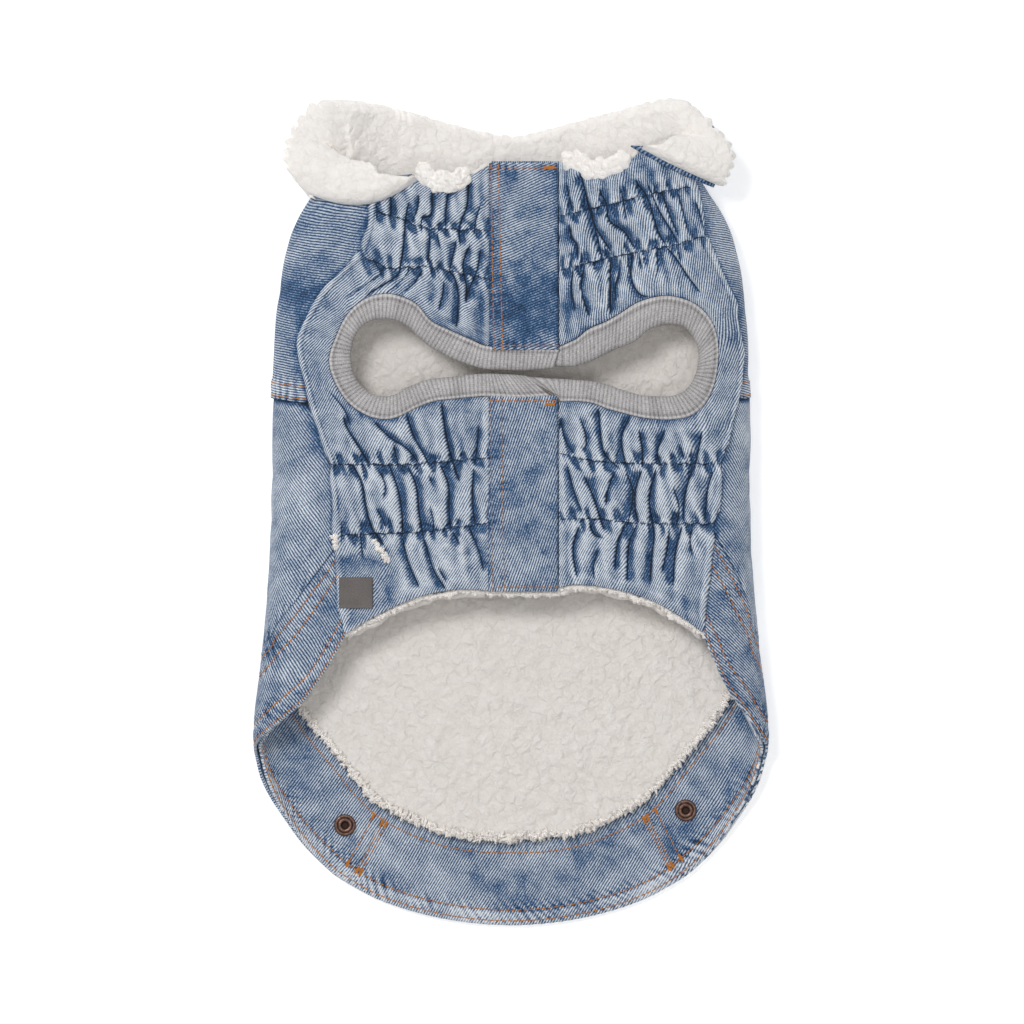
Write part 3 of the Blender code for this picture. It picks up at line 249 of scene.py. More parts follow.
BELLY_RIGHT_VALLEYS = (
    (1.5, 0.9, 21.3, 42.5, 23.8, 31.2, 28.2, 24.4), (1.3, 0.7, 29.9, 42, 33, 32.3, 32.1, 26.2),
    (1.7, 1, 38.1, 45.6, 39.4, 31.2, 41.4, 24.5, 48, 18.3),
    (1.6, 1, 52.5, 43.1, 48.3, 33, 49.1, 25.3, 50.8, 19.1), (1.3, 0.8, 55.9, 35.9, 57.6, 26.2, 57.2, 18.3),
    (1.4, 0.9, 67.3, 35.9, 64, 26.2, 65.6, 20), (1.4, 0.9, 83.6, 35.5, 82, 27.1, 80.1, 18.3),
    (1.2, 0.7, 94.6, 30.4, 92, 20), (1.2, 0.7, 73.5, 29.7, 76.1, 21.8),
    (1.8, 0.95, 24.2, 21.8, 27.2, 9.3, 31.7, -2), (1.6, 0.95, 32.1, 15.6, 35.6, 7.7, 38.1, 0.1, 40.7, -8.1),
    (1.5, 0.9, 45.7, 18.3, 42.4, 9.3, 41.5, 2.4), (2.4, 1, 50.6, 16.5, 53.3, 9.3, 52.5, 0.9, 50.8, -6.4),
    (1.4, 0.9, 57.6, 19.1, 54.6, 10.3, 54.3, 0.9, 55.9, -5.5),
    (1.6, 1, 63.8, 20, 60.9, 7.7, 60.9, 0.9, 62.7, -6.4), (1.5, 0.8, 70.8, 11.2, 73.6, 1.5, 72.2, -6.4),
    (1.6, 1, 79.6, 19.1, 76.1, 7.7, 75.2, -5.5), (1.3, 0.7, 88.4, 18.3, 85.8, 8.6, 84.9, -4.6),
    (1.5, 0.95, 29.9, -5.5, 27.2, -16.8, 29, -29.3), (1.3, 0.8, 33.9, -4.6, 36.5, -9.9, 40.5, -11.7),
    (1.4, 0.9, 50.4, -4.6, 46.6, -14.3, 45.5, -25.7), (1.4, 0.9, 55.4, -5.5, 51.7, -14.3, 50.8, -31),
    (1.7, 1, 61.7, -4.6, 62.6, -10.9, 61.6, -19.3, 60.7, -31.9),
    (1.3, 0.8, 69.3, -5.5, 68.5, -15.9, 65.8, -27.5), (1.5, 1, 75.2, -5.5, 71.9, -17.6, 70.8, -32.8),
    (1.1, 0.6, 79.6, -5.5, 78.3, -12.5, 79.6, -19.6), (1.2, 0.6, 38.3, -16.1, 36.1, -24, 36.5, -30.1),
)


TURN = 2 * math.pi
# Cells along each side of the lattices behind drift and curls, after which they repeat.
DRIFT_CELLS, CURL_CELLS = 64, 32
# Twill angles in degrees, from the middle line. The fronts' turn from chest to belly.
TWILL = {
    "yoke": 8.0, "body": 56.0, "band": 51.0, "left": 55.0, "centre": 58.5, "right": 58.0, "collar": 45.0,
    "placket_chest": 22.0, "placket_belly": 70.0,
}
# How far from its ends a crease fades in, and how far a shirring row draws the cloth together.
CREASE_TAPER = 3.5
ROW_REACH = 3.2


def steps(count):
    """Even steps from 0 to 1."""
    return np.linspace(0.0, 1.0, count)


def unit(values):
    """The values, kept between 0 and 1."""
    return np.clip(values, 0, 1)


def bell(values):
    """1 at 0, falling off on both sides within about 1."""
    return np.exp(-(values**2))


def eased(t):
    return t * t * (3 - 2 * t)


def rounded(t):
    """From 0 to 1 along a quarter of a circle."""
    return np.sqrt(unit(1 - (1 - t) ** 2))


def stacked(*values):
    return np.stack(values, axis=-1)


def unit_length(vectors):
    return vectors / np.linalg.norm(vectors, axis=-1, keepdims=True)


def run_along(points):
    """Distance run along a line at each of its points."""
    return np.concatenate([[0], np.cumsum(np.linalg.norm(np.diff(points, axis=0), axis=1))])


def smooth(knots, values, at):
    """The cubic curve through values at their knots, read at the places asked for."""
    knots = np.asarray(knots, float)
    values = np.asarray(values, float)
    at = np.clip(np.asarray(at, float), knots[0], knots[-1])
    slopes = np.gradient(values, knots, axis=0)
    cell = np.clip(np.searchsorted(knots, at) - 1, 0, len(knots) - 2)
    width = knots[cell + 1] - knots[cell]
    t = (at - knots[cell]) / width
    if values.ndim > 1:
        t = t[..., None]
        width = width[..., None]
    start, end = values[cell], values[cell + 1]
    rise_in, rise_out = slopes[cell] * width, slopes[cell + 1] * width
    return (
        start * (1 + 2 * t) * (1 - t) ** 2
        + rise_in * t * (1 - t) ** 2
        + end * t**2 * (3 - 2 * t)
        - rise_out * t**2 * (1 - t)
    )


def through(rows, at):
    """Rows read at fractional row numbers."""
    return smooth(np.arange(len(rows)), np.asarray(rows), at)


def by_column(rows, at):
    """Rows sorted on their first column, read at values of that column."""
    rows = np.asarray(sorted(rows))
    values = rows[:, 1] if rows.shape[1] == 2 else rows[:, 1:]
    return smooth(rows[:, 0], values, at)


def section(y):
    """Half width of the flat back, then reach and half height of the side folds at y."""
    half_width, reach, rise = np.moveaxis(by_column(BODY_SECTIONS, y), -1, 0)
    return half_width - reach, reach, rise


def fold_quarter(reach, rise):
    """Length round a quarter of a side fold."""
    return math.pi / 2 * np.sqrt((reach**2 + rise**2) / 2)


def fold_point(beyond, side, y, depth):
    """Point at a way beyond the flat back, on one side, moved inwards by depth."""
    flat, reach, rise = section(y)
    quarter = fold_quarter(reach, rise)
    turn = np.clip(beyond / quarter, 0, 2) * math.pi / 2
    past_top = np.maximum(beyond - 2 * quarter, 0)
    out_x = rise * np.sin(turn)
    out_z = -reach * np.cos(turn)
    length = np.hypot(out_x, out_z)
    x = flat + reach * np.sin(turn) + np.minimum(beyond, 0) - past_top - depth * out_x / length
    z = rise * (1 - np.cos(turn)) - depth * out_z / length
    return np.stack(np.broadcast_arrays(side * x, y, z), axis=-1)


def wrapped(way, y, depth):
    """Point at a way round the section."""
    flat = section(y)[0]
    return fold_point(np.abs(way) - flat, np.where(way < 0, -1.0, 1.0), y, depth)


def way_on_top(x, y):
    """Way, from the flat back's edge, of a point seen from above at x and y."""
    flat, reach, rise = section(y)
    turn = math.pi - np.arcsin(unit((np.abs(x) - flat) / reach))
    return turn / (math.pi / 2) * fold_quarter(reach, rise) + np.maximum(flat - np.abs(x), 0)


def way_below(x, y):
    """The same for a point on the back or on the lower half of a side fold."""
    flat, reach, rise = section(y)
    turn = np.arcsin(unit((np.abs(x) - flat) / reach))
    return turn / (math.pi / 2) * fold_quarter(reach, rise) + np.minimum(np.abs(x) - flat, 0)


def on_top(x, y, depth):
    """Point of the top layer seen from above at x and y."""
    return fold_point(way_on_top(x, y), np.where(x < 0, -1.0, 1.0), y, depth)


def seam_x(side, y):
    """Distance of the side seam from the middle at y."""
    return by_column(LEFT_SEAM if side < 0 else RIGHT_SEAM, y)


def seam_way(side, y, gap):
    """Way of the back's edge at the side seam, with half of the seam's gap left free."""
    return side * (section(y)[0] + way_on_top(seam_x(side, y), y) - gap / 2)


def across(rows, share, gap):
    """Way and y of a cross seam at shares of the way to the side seams."""
    y = by_column(rows, share)
    reach = np.where(share < 0, -seam_way(-1, y, gap), seam_way(1, y, gap))
    return stacked(share * reach, y)


def hem_rows():
    """Way and y of the hem edge, the band seam and the lining's end, left to right."""
    places = [(row, -1, way_on_top) for row in HEM_TOP_LEFT]
    places += [(row, -1, way_below) for row in HEM_FLOOR]
    places += [(row, 1, way_below) for row in HEM_FLOOR[-2::-1]]
    places += [(row, 1, way_on_top) for row in HEM_TOP_RIGHT[::-1]]
    rows = []
    for row, side, way_of in places:
        found = []
        for x, y in zip(row[0::2], row[1::2]):
            found += [side * (section(y)[0] + way_of(x, y)), y]
        rows.append(found)
    return np.asarray(rows)


HEM = hem_rows()
HEM_END = len(HEM) - 1


def hem_line(column, at):
    """Way and y along one of the three hem lines: 0 edge, 1 band seam, 2 lining's end."""
    return through(HEM, at)[..., 2 * column : 2 * column + 2]


def coons(top, bottom, left, right, t, v):
    """Flat patch between four edges that meet at their corners."""
    t = t[:, None, None]
    v = v[None, :, None]
    ruled = top[:, None] * (1 - v) + bottom[:, None] * v
    sides = left[None, :] * (1 - t) + right[None, :] * t
    corners = (
        top[0] * (1 - t) * (1 - v) + top[-1] * t * (1 - v) + bottom[0] * (1 - t) * v + bottom[-1] * t * v
    )
    return ruled + sides - corners


def side_edge(side, y_from, y_to, v, gap):
    """Way and y down the back's edge at a side seam."""
    y = y_from + (y_to - y_from) * v
    return stacked(seam_way(side, y, gap), y)


def back_patch(top, bottom, t, v, gap=SEAM_GAP):
    """Flat patch of the back between two cross seams, from side seam to side seam."""
    left = side_edge(-1, top[0, 1], bottom[0, 1], v, gap)
    right = side_edge(1, top[-1, 1], bottom[-1, 1], v, gap)
    top, bottom = top.copy(), bottom.copy()
    for line in (top, bottom):
        line[0, 0] = seam_way(-1, line[0, 1], gap)
        line[-1, 0] = seam_way(1, line[-1, 1], gap)
    return coons(top, bottom, left, right, t, v)


def moved(line, shift):
    """A seam line shifted square to itself, towards the neck, for the gap between two pieces."""
    along = np.gradient(line, axis=0)
    square = np.stack([-along[:, 1], along[:, 0]], axis=1)
    return line + shift * square / np.linalg.norm(square, axis=1, keepdims=True)


def seam_rows_at(share):
    """Row numbers of the hem table whose band seam lies at these shares of the way."""
    fine = np.linspace(0, HEM_END, 20 * HEM_END + 1)
    way = hem_line(1, fine)[:, 0]
    found = way / np.where(way < 0, -way[0], way[-1])
    return np.interp(share, found, fine)


def through_at(knots, values, at):
    """Straight runs between knots, for each of two columns."""
    return stacked(*(np.interp(at, knots, column) for column in values.T))


def label_calm(x, y):
    """0 where the tab lies on the cloth, 1 well away from it."""
    off_x = np.maximum(LABEL_X[0] - x, x - LABEL_X[1])
    off_y = np.maximum(LABEL_Y[0] - y, y - LABEL_Y[1])
    off = np.maximum(np.maximum(off_x, off_y), 0)
    return unit((off - LABEL_MARGIN) / LABEL_MARGIN)


class Front:
    """One front: its table, its side and its two corner rows."""

    def __init__(self, table, side, corners):
        self.table = np.asarray(table)
        self.side = side
        self.corners = corners

    def rows_at(self, per_row):
        """Row numbers of a grid's columns, so many to each row of the table."""
        last = len(self.table) - 1
        return np.linspace(0, last, last * per_row + 1)

    def outer_edge(self, at):
        """Neck edge, side seam and belly hem, with a corner where they meet."""
        first, last = self.corners
        outer = self.table[:, 4:6]
        neck = through(outer[: first + 1], at)
        side = through(outer[first : last + 1], at - first)
        belly = through(outer[last:], at - last)
        at = at[:, None]
        return np.where(at < first, neck, np.where(at < last, side, belly))

    def plan(self, at, v, armhole_gap, seam_gap, hang):
        """x, y of a grid between armhole seam and outer edge. hang lengthens the free edges."""
        found = through(self.table, at)
        seam, outer = found[:, 2:4].copy(), self.outer_edge(at)
        first, last = self.corners
        on_seam = (at >= first) & (at <= last)
        outer[on_seam, 0] = self.side * (seam_x(self.side, outer[on_seam, 1]) - seam_gap / 2)
        along = unit_length(np.gradient(seam, axis=0))
        square = np.stack([along[:, 1], -along[:, 0]], axis=1) * -self.side
        seam += square * armhole_gap
        longer = np.where(at < first, hang[0], hang[1])
        outer[~on_seam, 1] += (longer * np.where(at < first, 1, -1))[~on_seam]
        grid = seam[:, None] * (1 - v[None, :, None]) + outer[:, None] * v[None, :, None]
        return grid[..., 0], grid[..., 1], np.maximum(found[:, 6], 0)


def underlap(x):
    """How deep the cloth lies where it runs under the placket."""
    return UNDERLAP_DEPTH * unit((25.0 - x) / 3.0) * (x > UNDERLAP_LEFT - 1)


def binding_path(front):
    """Free edge and seam of a binding, with its ends towards the middle."""
    rows = front.table[:, :4]
    if front.side < 0:
        return np.concatenate([LEFT_BINDING_CHEST_END, rows, LEFT_BINDING_BELLY_END])
    return np.concatenate([rows, RIGHT_BINDING_BELLY_END])


def collar_seam(share):
    """Share and place of the collar's seam edge: along the back's neck edge, and over each front."""
    line = moved(across(NECK_EDGE, share, SEAM_GAP), SEAM_GAP)
    back = np.column_stack([share, wrapped(line[:, 0], line[:, 1], 0.0)])
    return np.concatenate([COLLAR_LEFT_FRONT, back, COLLAR_RIGHT_FRONT])


def collar_face(seam, v, lift):
    """The collar's underside, or a face lifted from it towards the pile side."""
    stations = by_column(COLLAR, seam[:, 0])
    middle, edge = stations[:, 0:3], stations[:, 3:6]
    seam = seam[:, 1:]
    v = v[None, :, None]
    control = 2 * middle - 0.5 * (seam + edge)
    points = seam[:, None] * (1 - v) ** 2 + control[:, None] * 2 * v * (1 - v) + edge[:, None] * v**2
    points[..., 2] = np.maximum(points[..., 2], 0.0)
    along = np.gradient(points, axis=0)
    out = np.gradient(points, axis=1)
    return points + unit_length(np.cross(along, out)) * lift


def drift(x, y, size, seed):
    """Smooth random values from -1 to 1 that change over about `size`."""
    table = np.random.default_rng(seed).uniform(-1, 1, (DRIFT_CELLS, DRIFT_CELLS))
    x, y = np.asarray(x) / size, np.asarray(y) / size
    i, j = np.floor(x).astype(int), np.floor(y).astype(int)
    fx, fy = eased(x - i), eased(y - j)
    i, j, i1, j1 = (index % DRIFT_CELLS for index in (i, j, i + 1, j + 1))
    low = table[i, j] * (1 - fx) + table[i1, j] * fx
    high = table[i, j1] * (1 - fx) + table[i1, j1] * fx
    return low * (1 - fy) + high * fy


def drift_along(x, size, seed):
    """The same, changing in one direction only."""
    return drift(x, x * 0, size, seed)


def curls(x, y, z, size, seed):
    """Soft lumps about `size` across, packed at random: near 1 on a lump, near 0 between lumps."""
    offsets = np.random.default_rng(seed).uniform(0.0, 1.0, (CURL_CELLS,) * 3 + (3,))
    place = np.stack(np.broadcast_arrays(x, y, z), axis=-1) / size
    cell = np.floor(place).astype(int)
    total = 0.0
    for step in np.ndindex(3, 3, 3):
        at = cell + np.array(step) - 1
        i, j, k = np.moveaxis(at % CURL_CELLS, -1, 0)
        total = total + np.exp(-((at + offsets[i, j, k] - place) ** 2).sum(axis=-1) / 0.2)
    return 1 - np.exp(-1.2 * total)


def off_line(x, y, line):
    """Distance of places from a line of points, positive on its left, and of the foot from its nearer end."""
    nearest = np.full(np.shape(x), 1e9)
    along, side = np.zeros(np.shape(x)), np.ones(np.shape(x))
    run = 0.0
    for start, end in zip(line, line[1:]):
        step = end - start
        length = np.hypot(*step)
        off_x, off_y = x - start[0], y - start[1]
        t = unit((off_x * step[0] + off_y * step[1]) / length**2)
        off = np.hypot(off_x - t * step[0], off_y - t * step[1])
        closer = off < nearest
        nearest = np.where(closer, off, nearest)
        along = np.where(closer, run + t * length, along)
        side = np.where(closer, np.sign(step[0] * off_y - step[1] * off_x), side)
        run += length
    return nearest * side, np.minimum(along, run - along)


def off_crease(x, y, points, fade_in):
    """Distance of places from a crease, and its strength there, which fades towards its ends."""
    line = np.reshape(points, (-1, 2))
    off, end = off_line(x, y, through(line, np.linspace(0, len(line) - 1, 3 * len(line))))
    return off, unit(end / CREASE_TAPER + fade_in)


def valleys(x, y, lines):
    """1 on full cloth, falling towards 0 at the bottom of each crease."""
    full = np.ones(np.shape(x))
    for width, depth, *points in lines:
        off, on = off_crease(x, y, points, 0.2)
        full *= 1 - depth * on * np.exp(-(np.abs(off / width) ** 1.5))
    return full


def folds(x, y, lines, row_off, seed):
    """Gathered cloth between creases: its height share, the painted shade beside them (blue), and the
    distance to the nearest crease with the strength of the painted shade line along it. One side of a crease
    stands up to the line, the other slopes."""
    full, blue, crease_on = np.ones(np.shape(x)), np.zeros(np.shape(x)), np.zeros(np.shape(x))
    crease = np.full(np.shape(x), 9.0)
    random = np.random.default_rng(seed)
    near_row = np.exp(-np.abs(row_off) / ROW_REACH)
    for width, depth, *points in lines:
        off, on = off_crease(x, y, points, 0.1)
        off = off * random.choice((-1.0, 1.0))
        ends = depth * on
        slope = np.where(off > 0, 0.45, 1.9) * width * (1 + 0.3 * near_row)
        full *= 1 - 0.96 * ends * np.exp(-(np.abs(off / slope) ** 1.2))
        # Painted shade beside the crease, wider on the side that slopes away and near the rows.
        band = np.where(off > 0, 0.35, 1.0) * width * (1 + 0.9 * near_row)
        blue = np.maximum(blue, ends * np.exp(-(np.abs(off / band) ** 1.7)))
        nearer = np.abs(off) < np.abs(crease)
        crease = np.where(nearer, off, crease)
        crease_on = np.where(nearer, ends * unit((1.5 - np.abs(off)) / 0.6), crease_on)
    return full, blue, crease, crease_on


def soft_floor(values, lowest):
    """The values, eased so that none falls below the lowest."""
    sharpness = 14
    return lowest + np.logaddexp(0, (values - lowest) * sharpness) / sharpness


def blurred(values, columns, rows):
    """A grid of values averaged over this many neighbours, twice."""
    for axis, count in ((0, columns), (1, rows)) * 2:
        width = [(0, 0), (0, 0)]
        width[axis] = (count + 1, count)
        total = np.cumsum(np.pad(values, width, mode="edge"), axis=axis)
        high = np.take(total, np.arange(2 * count + 1, total.shape[axis]), axis=axis)
        low = np.take(total, np.arange(0, total.shape[axis] - 2 * count - 1), axis=axis)
        values = (high - low) / (2 * count + 1)
    return values


def patches(x, y, table):
    """Wash marks: soft oval places where the cloth is paler, or darker where negative."""
    total = np.zeros(np.shape(x))
    for at_x, at_y, half_x, half_y, strength in table:
        total += strength * np.exp(-(((x - at_x) / half_x) ** 2) - ((y - at_y) / half_y) ** 2)
    return total


# ---- looks


class Wire:
    """A node's output that takes part in sums: each one adds a Math node to the material."""

    def __init__(self, look, socket):
        self.look = look
        self.socket = socket

    def wave(self, pitch):
        return self.look.math("SINE", self * (TURN / pitch))

    def clipped(self):
        return self.look.node("ShaderNodeClamp", {}, {"Value": self})


def wire_sum(operation, swapped):
    """The method behind a sign between two Wires, or between a number and a Wire where swapped."""

    def made(wire, other):
        return wire.look.math(operation, *((other, wire) if swapped else (wire, other)))

    return made


for sign, operation in (("add", "ADD"), ("sub", "SUBTRACT"), ("mul", "MULTIPLY"), ("truediv", "DIVIDE")):
    setattr(Wire, f"__{sign}__", wire_sum(operation, False))
    setattr(Wire, f"__r{sign}__", wire_sum(operation, True))


class Look:
    """One material and the ways of adding nodes to it."""

    def __init__(self, name, roughness):
        self.material = bpy.data.materials.new(name)
        self.material.use_nodes = True
        self.tree = self.material.node_tree
        self.shader = self.tree.nodes["Principled BSDF"]
        self.keep({"Roughness": roughness})

    def node(self, kind, settings, inputs, output=0):
        return Wire(self, add_node(self.tree, kind, settings, inputs).outputs[output])

    def math(self, operation, *terms):
        return self.node("ShaderNodeMath", {"operation": operation}, dict(enumerate(terms)))

    def set(self, name, wire):
        self.tree.links.new(wire.socket, self.shader.inputs[name])

    def keep(self, values):
        """Values that are the same all over."""
        for name, value in values.items():
            self.shader.inputs[name].default_value = value

    def weave(self):
        return self.node("ShaderNodeUVMap", {"uv_map": "weave"}, {})

    def place(self):
        return self.node("ShaderNodeTexCoord", {}, {}, "Object")

    def field(self, name):
        return self.node("ShaderNodeAttribute", {"attribute_name": name}, {}, "Fac")

    def parts_of(self, vector):
        return [self.node("ShaderNodeSeparateXYZ", {}, {0: vector}, axis) for axis in (0, 1)]

    def vector(self, x, y):
        return self.node("ShaderNodeCombineXYZ", {}, {0: x, 1: y, 2: 0.0})

    def sum(self, first, second):
        return self.node("ShaderNodeVectorMath", {"operation": "ADD"}, {0: first, 1: second})

    def noise(self, vector, size, detail=2.0, roughness=0.5):
        inputs = {"Vector": vector, "Scale": 1 / size, "Detail": detail, "Roughness": roughness}
        return self.node("ShaderNodeTexNoise", {"noise_dimensions": "3D"}, inputs, "Fac")

    def ramp(self, value, stops):
        made = self.node("ShaderNodeValToRGB", {}, {"Fac": value})
        ramp = made.socket.node.color_ramp
        while len(ramp.elements) < len(stops):
            ramp.elements.new(0.5)
        for element, (place, *colour) in zip(ramp.elements, stops):
            element.position = place
            element.color = (*colour, 1.0)
        return made

    def colour(self, share, first, second):
        """A mix of two colours, each red, green and blue or a Wire, as the base colour."""
        first, second = (c if isinstance(c, Wire) else (*c, 1.0) for c in (first, second))
        mixed = self.node("ShaderNodeMix", {"data_type": "RGBA"}, {0: share, 6: first, 7: second}, 2)
        self.set("Base Color", mixed)

    def bump(self, height, strength, distance):
        inputs = {"Strength": strength, "Distance": distance * MM, "Height": height}
        self.set("Normal", self.node("ShaderNodeBump", {}, inputs))


def add_node(tree, kind, settings=None, inputs=None):
    """A node with its settings; an input is a number, a socket or a Wire that is linked to it."""
    made = tree.nodes.new(kind)
    for name, value in (settings or {}).items():
        setattr(made, name, value)
    for name, value in (inputs or {}).items():
        value = value.socket if isinstance(value, Wire) else value
        if isinstance(value, bpy.types.NodeSocket):
            tree.links.new(value, made.inputs[name])
        else:
            made.inputs[name].default_value = value
    return made


TWILL_PITCH = 1.08
WALE_SHARPNESS = 2.4
# How far blotches and specks change the wash, and how wide and dark the painted shade lines in the creases
# and under the scallops are.
BLOTCH, SPECK = 0.62, 0.85
CREASE_WIDTHS = {"crease": 0.19, "scallop": 0.18}
CREASE_SHADE_DARKNESS = 0.95
# Colours of the blue and the pale yarn. Columns: how washed out the cloth is; red, green, blue.
BLUE_YARN = (
    (0, 0.003, 0.007, 0.018), (0.25, 0.006, 0.036, 0.116), (0.5, 0.011, 0.046, 0.13),
    (0.75, 0.085, 0.16, 0.285), (1, 0.41, 0.49, 0.59),
)
PALE_YARN = (
    (0, 0.008, 0.016, 0.036), (0.25, 0.055, 0.158, 0.325), (0.5, 0.53, 0.605, 0.7),
    (0.75, 0.78, 0.82, 0.865), (1, 0.9, 0.91, 0.925),
)


def denim_look(name, shift, bending):
    """Washed twill: pale wales on blue, broken into short floats, blotched, paler on raised cloth from wear
    and painted light, with painted shade lines in the creases.
    """
    look = Look(name, 0.86)
    cloth = look.weave()
    across, along = look.parts_of(cloth)
    bend = look.noise(cloth, 24.0, 1.0)
    fine_bend = look.noise(cloth, 2.6, 1.0)
    phase = across / TWILL_PITCH + bend * (2.0 * bending) + fine_bend * 0.30
    wale = (phase.wave(1.0) * WALE_SHARPNESS + 0.5).clipped()
    floats = look.noise(look.vector(across / 0.55, along / 1.25), 1.0, 2.0, 0.6)
    blotch = look.noise(cloth, 6.5, 4.0, 0.65)
    speck = look.noise(cloth, 0.75, 2.0, 0.6)
    washed = look.field("fade") + (blotch - 0.5) * BLOTCH + (speck - 0.5) * SPECK + shift
    # Painted shade: a thin dark line along each crease and along each scallop's overhanging edge.
    for line, width in CREASE_WIDTHS.items():
        off = look.field(line) * (1 / width)
        off = off * off
        washed = washed - look.field(line + "_on") / (off * off + 1.0) * CREASE_SHADE_DARKNESS
    washed = washed.clipped()
    share = (wale * 0.95 + (floats - 0.5) * 1.35).clipped()
    look.colour(share, look.ramp(washed, BLUE_YARN), look.ramp(washed, PALE_YARN))
    look.bump(wale * 0.6 + floats * 0.5 + speck * 0.2, 0.5, 0.14)
    look.keep({"Sheen Weight": 0.04, "Sheen Roughness": 0.5})
    return look.material


def pile_look(name, colour, sheen, glow):
    """Off-white curly pile: barely any colour change, a soft woolly surface, light spread inside the wool.
    Its colour follows its bumps, paler on raised wool and darker in the cracks between curls, as painted
    light and shade.
    """
    look = Look(name, 1.0)
    cloth = look.node("ShaderNodeVectorMath", {"operation": "SCALE"}, {0: look.place(), 3: 1 / MM})
    wool = look.noise(cloth, 0.9, 3.0, 0.65)
    tuft = look.noise(cloth, 2.6, 2.0, 0.55)
    elsewhere = look.sum(cloth, (40.0, 40.0, 40.0))
    bent = look.vector(look.noise(cloth, 3.2) * 6.0, look.noise(elsewhere, 3.2) * 6.0)
    cells = {"voronoi_dimensions": "3D", "feature": "DISTANCE_TO_EDGE"}
    inside = look.node("ShaderNodeTexVoronoi", cells, {"Vector": look.sum(cloth, bent), "Scale": 1 / 5.0})
    broken = ((look.noise(cloth, 4.0, 1.0) - 0.40) * 5.0).clipped()
    gap = (1.0 - inside * 9.0).clipped() * broken
    curl = (inside * 3.2).clipped()
    # Painted light and shade: the darker colour shows in the cracks between curls and where the bumps dip.
    dark = tuple(c * f for c, f in zip(colour, (0.83, 0.81, 0.785)))
    share = ((wool - 0.5) * 0.8 + (tuft - 0.5) * 0.5 + look.field("fade") - gap * 0.35).clipped()
    look.colour(share, dark, colour)
    look.bump(wool * 0.35 + tuft * 0.6 + curl * 0.9, 0.6, 0.9)
    look.shader.subsurface_method = "BURLEY"
    look.keep({"Sheen Weight": sheen, "Sheen Roughness": 0.6, "Subsurface Weight": glow})
    look.keep({"Subsurface Radius": (1.0, 0.9, 0.8), "Subsurface Scale": 2.5 * MM})
    return look.material


KNIT_COLOURS = ((0.0, 0.085, 0.083, 0.088), (0.45, 0.36, 0.345, 0.352), (1.0, 0.78, 0.755, 0.76))


def knit_look(name):
    """Heather grey rib: mixed dark and light fibres, small stitches along each rib, soft grooves, with the
    rib tops painted paler and the grooves darker as painted light and shade.
    """
    look = Look(name, 0.92)
    cloth = look.weave()
    along, across = look.parts_of(cloth)
    heather = look.noise(look.vector(along / 0.45, across / 1.1), 1.0, 3.0, 0.7)
    cloudy = look.noise(cloth, 3.5)
    wales, loops = along.wave(0.62), across.wave(0.85)
    share = look.field("fade") + (heather - 0.5) * 1.1 + (cloudy - 0.5) * 0.3 + wales * 0.06 + loops * 0.05
    look.set("Base Color", look.ramp(share.clipped(), KNIT_COLOURS))
    look.bump(heather + wales * 0.2 + loops * 0.2, 0.5, 0.15)
    look.keep({"Sheen Weight": 0.15})
    return look.material


def thread_look(name, colour):
    """Sewing thread: twisted strands, slightly darker between them."""
    look = Look(name, 0.6)
    strand = look.noise(look.place(), 0.5 * MM)
    look.colour(strand, tuple(c * 0.55 for c in colour), colour)
    look.bump(strand, 0.4, 0.1)
    return look.material


def copper_look(name):
    """Aged copper plating: brown in the hollows, brighter and smoother where it is rubbed."""
    look = Look(name, 0.4)
    place = look.place()
    tarnish = look.noise(place, 1.6 * MM, 4.0, 0.65)
    grain = look.noise(place, 0.25 * MM)
    share = ((tarnish - 0.5) * 1.6 + look.field("fade")).clipped()
    look.colour(share, (0.040, 0.020, 0.015), (0.26, 0.150, 0.115))
    look.set("Roughness", 0.62 - share * 0.3)
    look.keep({"Metallic": 0.75})
    look.bump(grain, 0.15, 0.1)
    return look.material


def tab_look(name):
    """Plain grey woven tab: fine cross weave."""
    look = Look(name, 0.75)
    cloth = look.weave()
    across, along = look.parts_of(cloth)
    warp, weft = across.wave(0.55), along.wave(0.45)
    fibre = look.noise(cloth, 0.5, 3.0, 0.6)
    share = (0.5 + warp * weft * 0.40 + (fibre - 0.5) * 0.9 + look.field("fade")).clipped()
    look.colour(share, (0.060, 0.054, 0.052), (0.235, 0.212, 0.205))
    look.bump(warp * weft + fibre, 0.4, 0.12)
    return look.material


def floor_look(name):
    look = Look(name, 0.9)
    look.colour(look.noise(look.place(), 0.04), (0.93, 0.93, 0.93), (0.96, 0.96, 0.96))
    look.keep({"Emission Color": (1.0, 1.0, 1.0, 1.0), "Emission Strength": 0.42, "Specular IOR Level": 0.1})
    return look.material


# ---- making cloth


def on_grid(points, column, row):
    """Points of a grid at fractional shares of its columns and rows."""
    columns, rows = points.shape[:2]
    c = np.clip(np.asarray(column) * (columns - 1), 0, columns - 1.001)
    r = np.clip(np.asarray(row) * (rows - 1), 0, rows - 1.001)
    i, j = c.astype(int), r.astype(int)
    fc, fr = (c - i)[..., None], (r - j)[..., None]
    near = points[i, j] * (1 - fr) + points[i, j + 1] * fr
    far = points[i + 1, j] * (1 - fr) + points[i + 1, j + 1] * fr
    return near * (1 - fc) + far * fc


def twill_uv(x, y, degrees):
    """Cloth coordinates in mm across and along twill lines that rise at this angle."""
    turn = math.radians(degrees)
    return stacked(y * math.cos(turn) - x * math.sin(turn), x * math.cos(turn) + y * math.sin(turn))


def turning_twill(x, y, pivot, chest, belly):
    """The same where the twill turns from one angle at the chest to another at the belly, past a pivot."""
    share = eased(unit((y - pivot[1]) / 44.0 + 0.5)[..., None])
    x, y = x - pivot[0], y - pivot[1]
    return twill_uv(x, y, chest) * share + twill_uv(x, y, belly) * (1 - share)


def add_piece(name, mesh, slot):
    made = bpy.data.objects.new(name, mesh)
    bpy.context.scene.collection.objects.link(made)
    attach(made, "root")
    return made


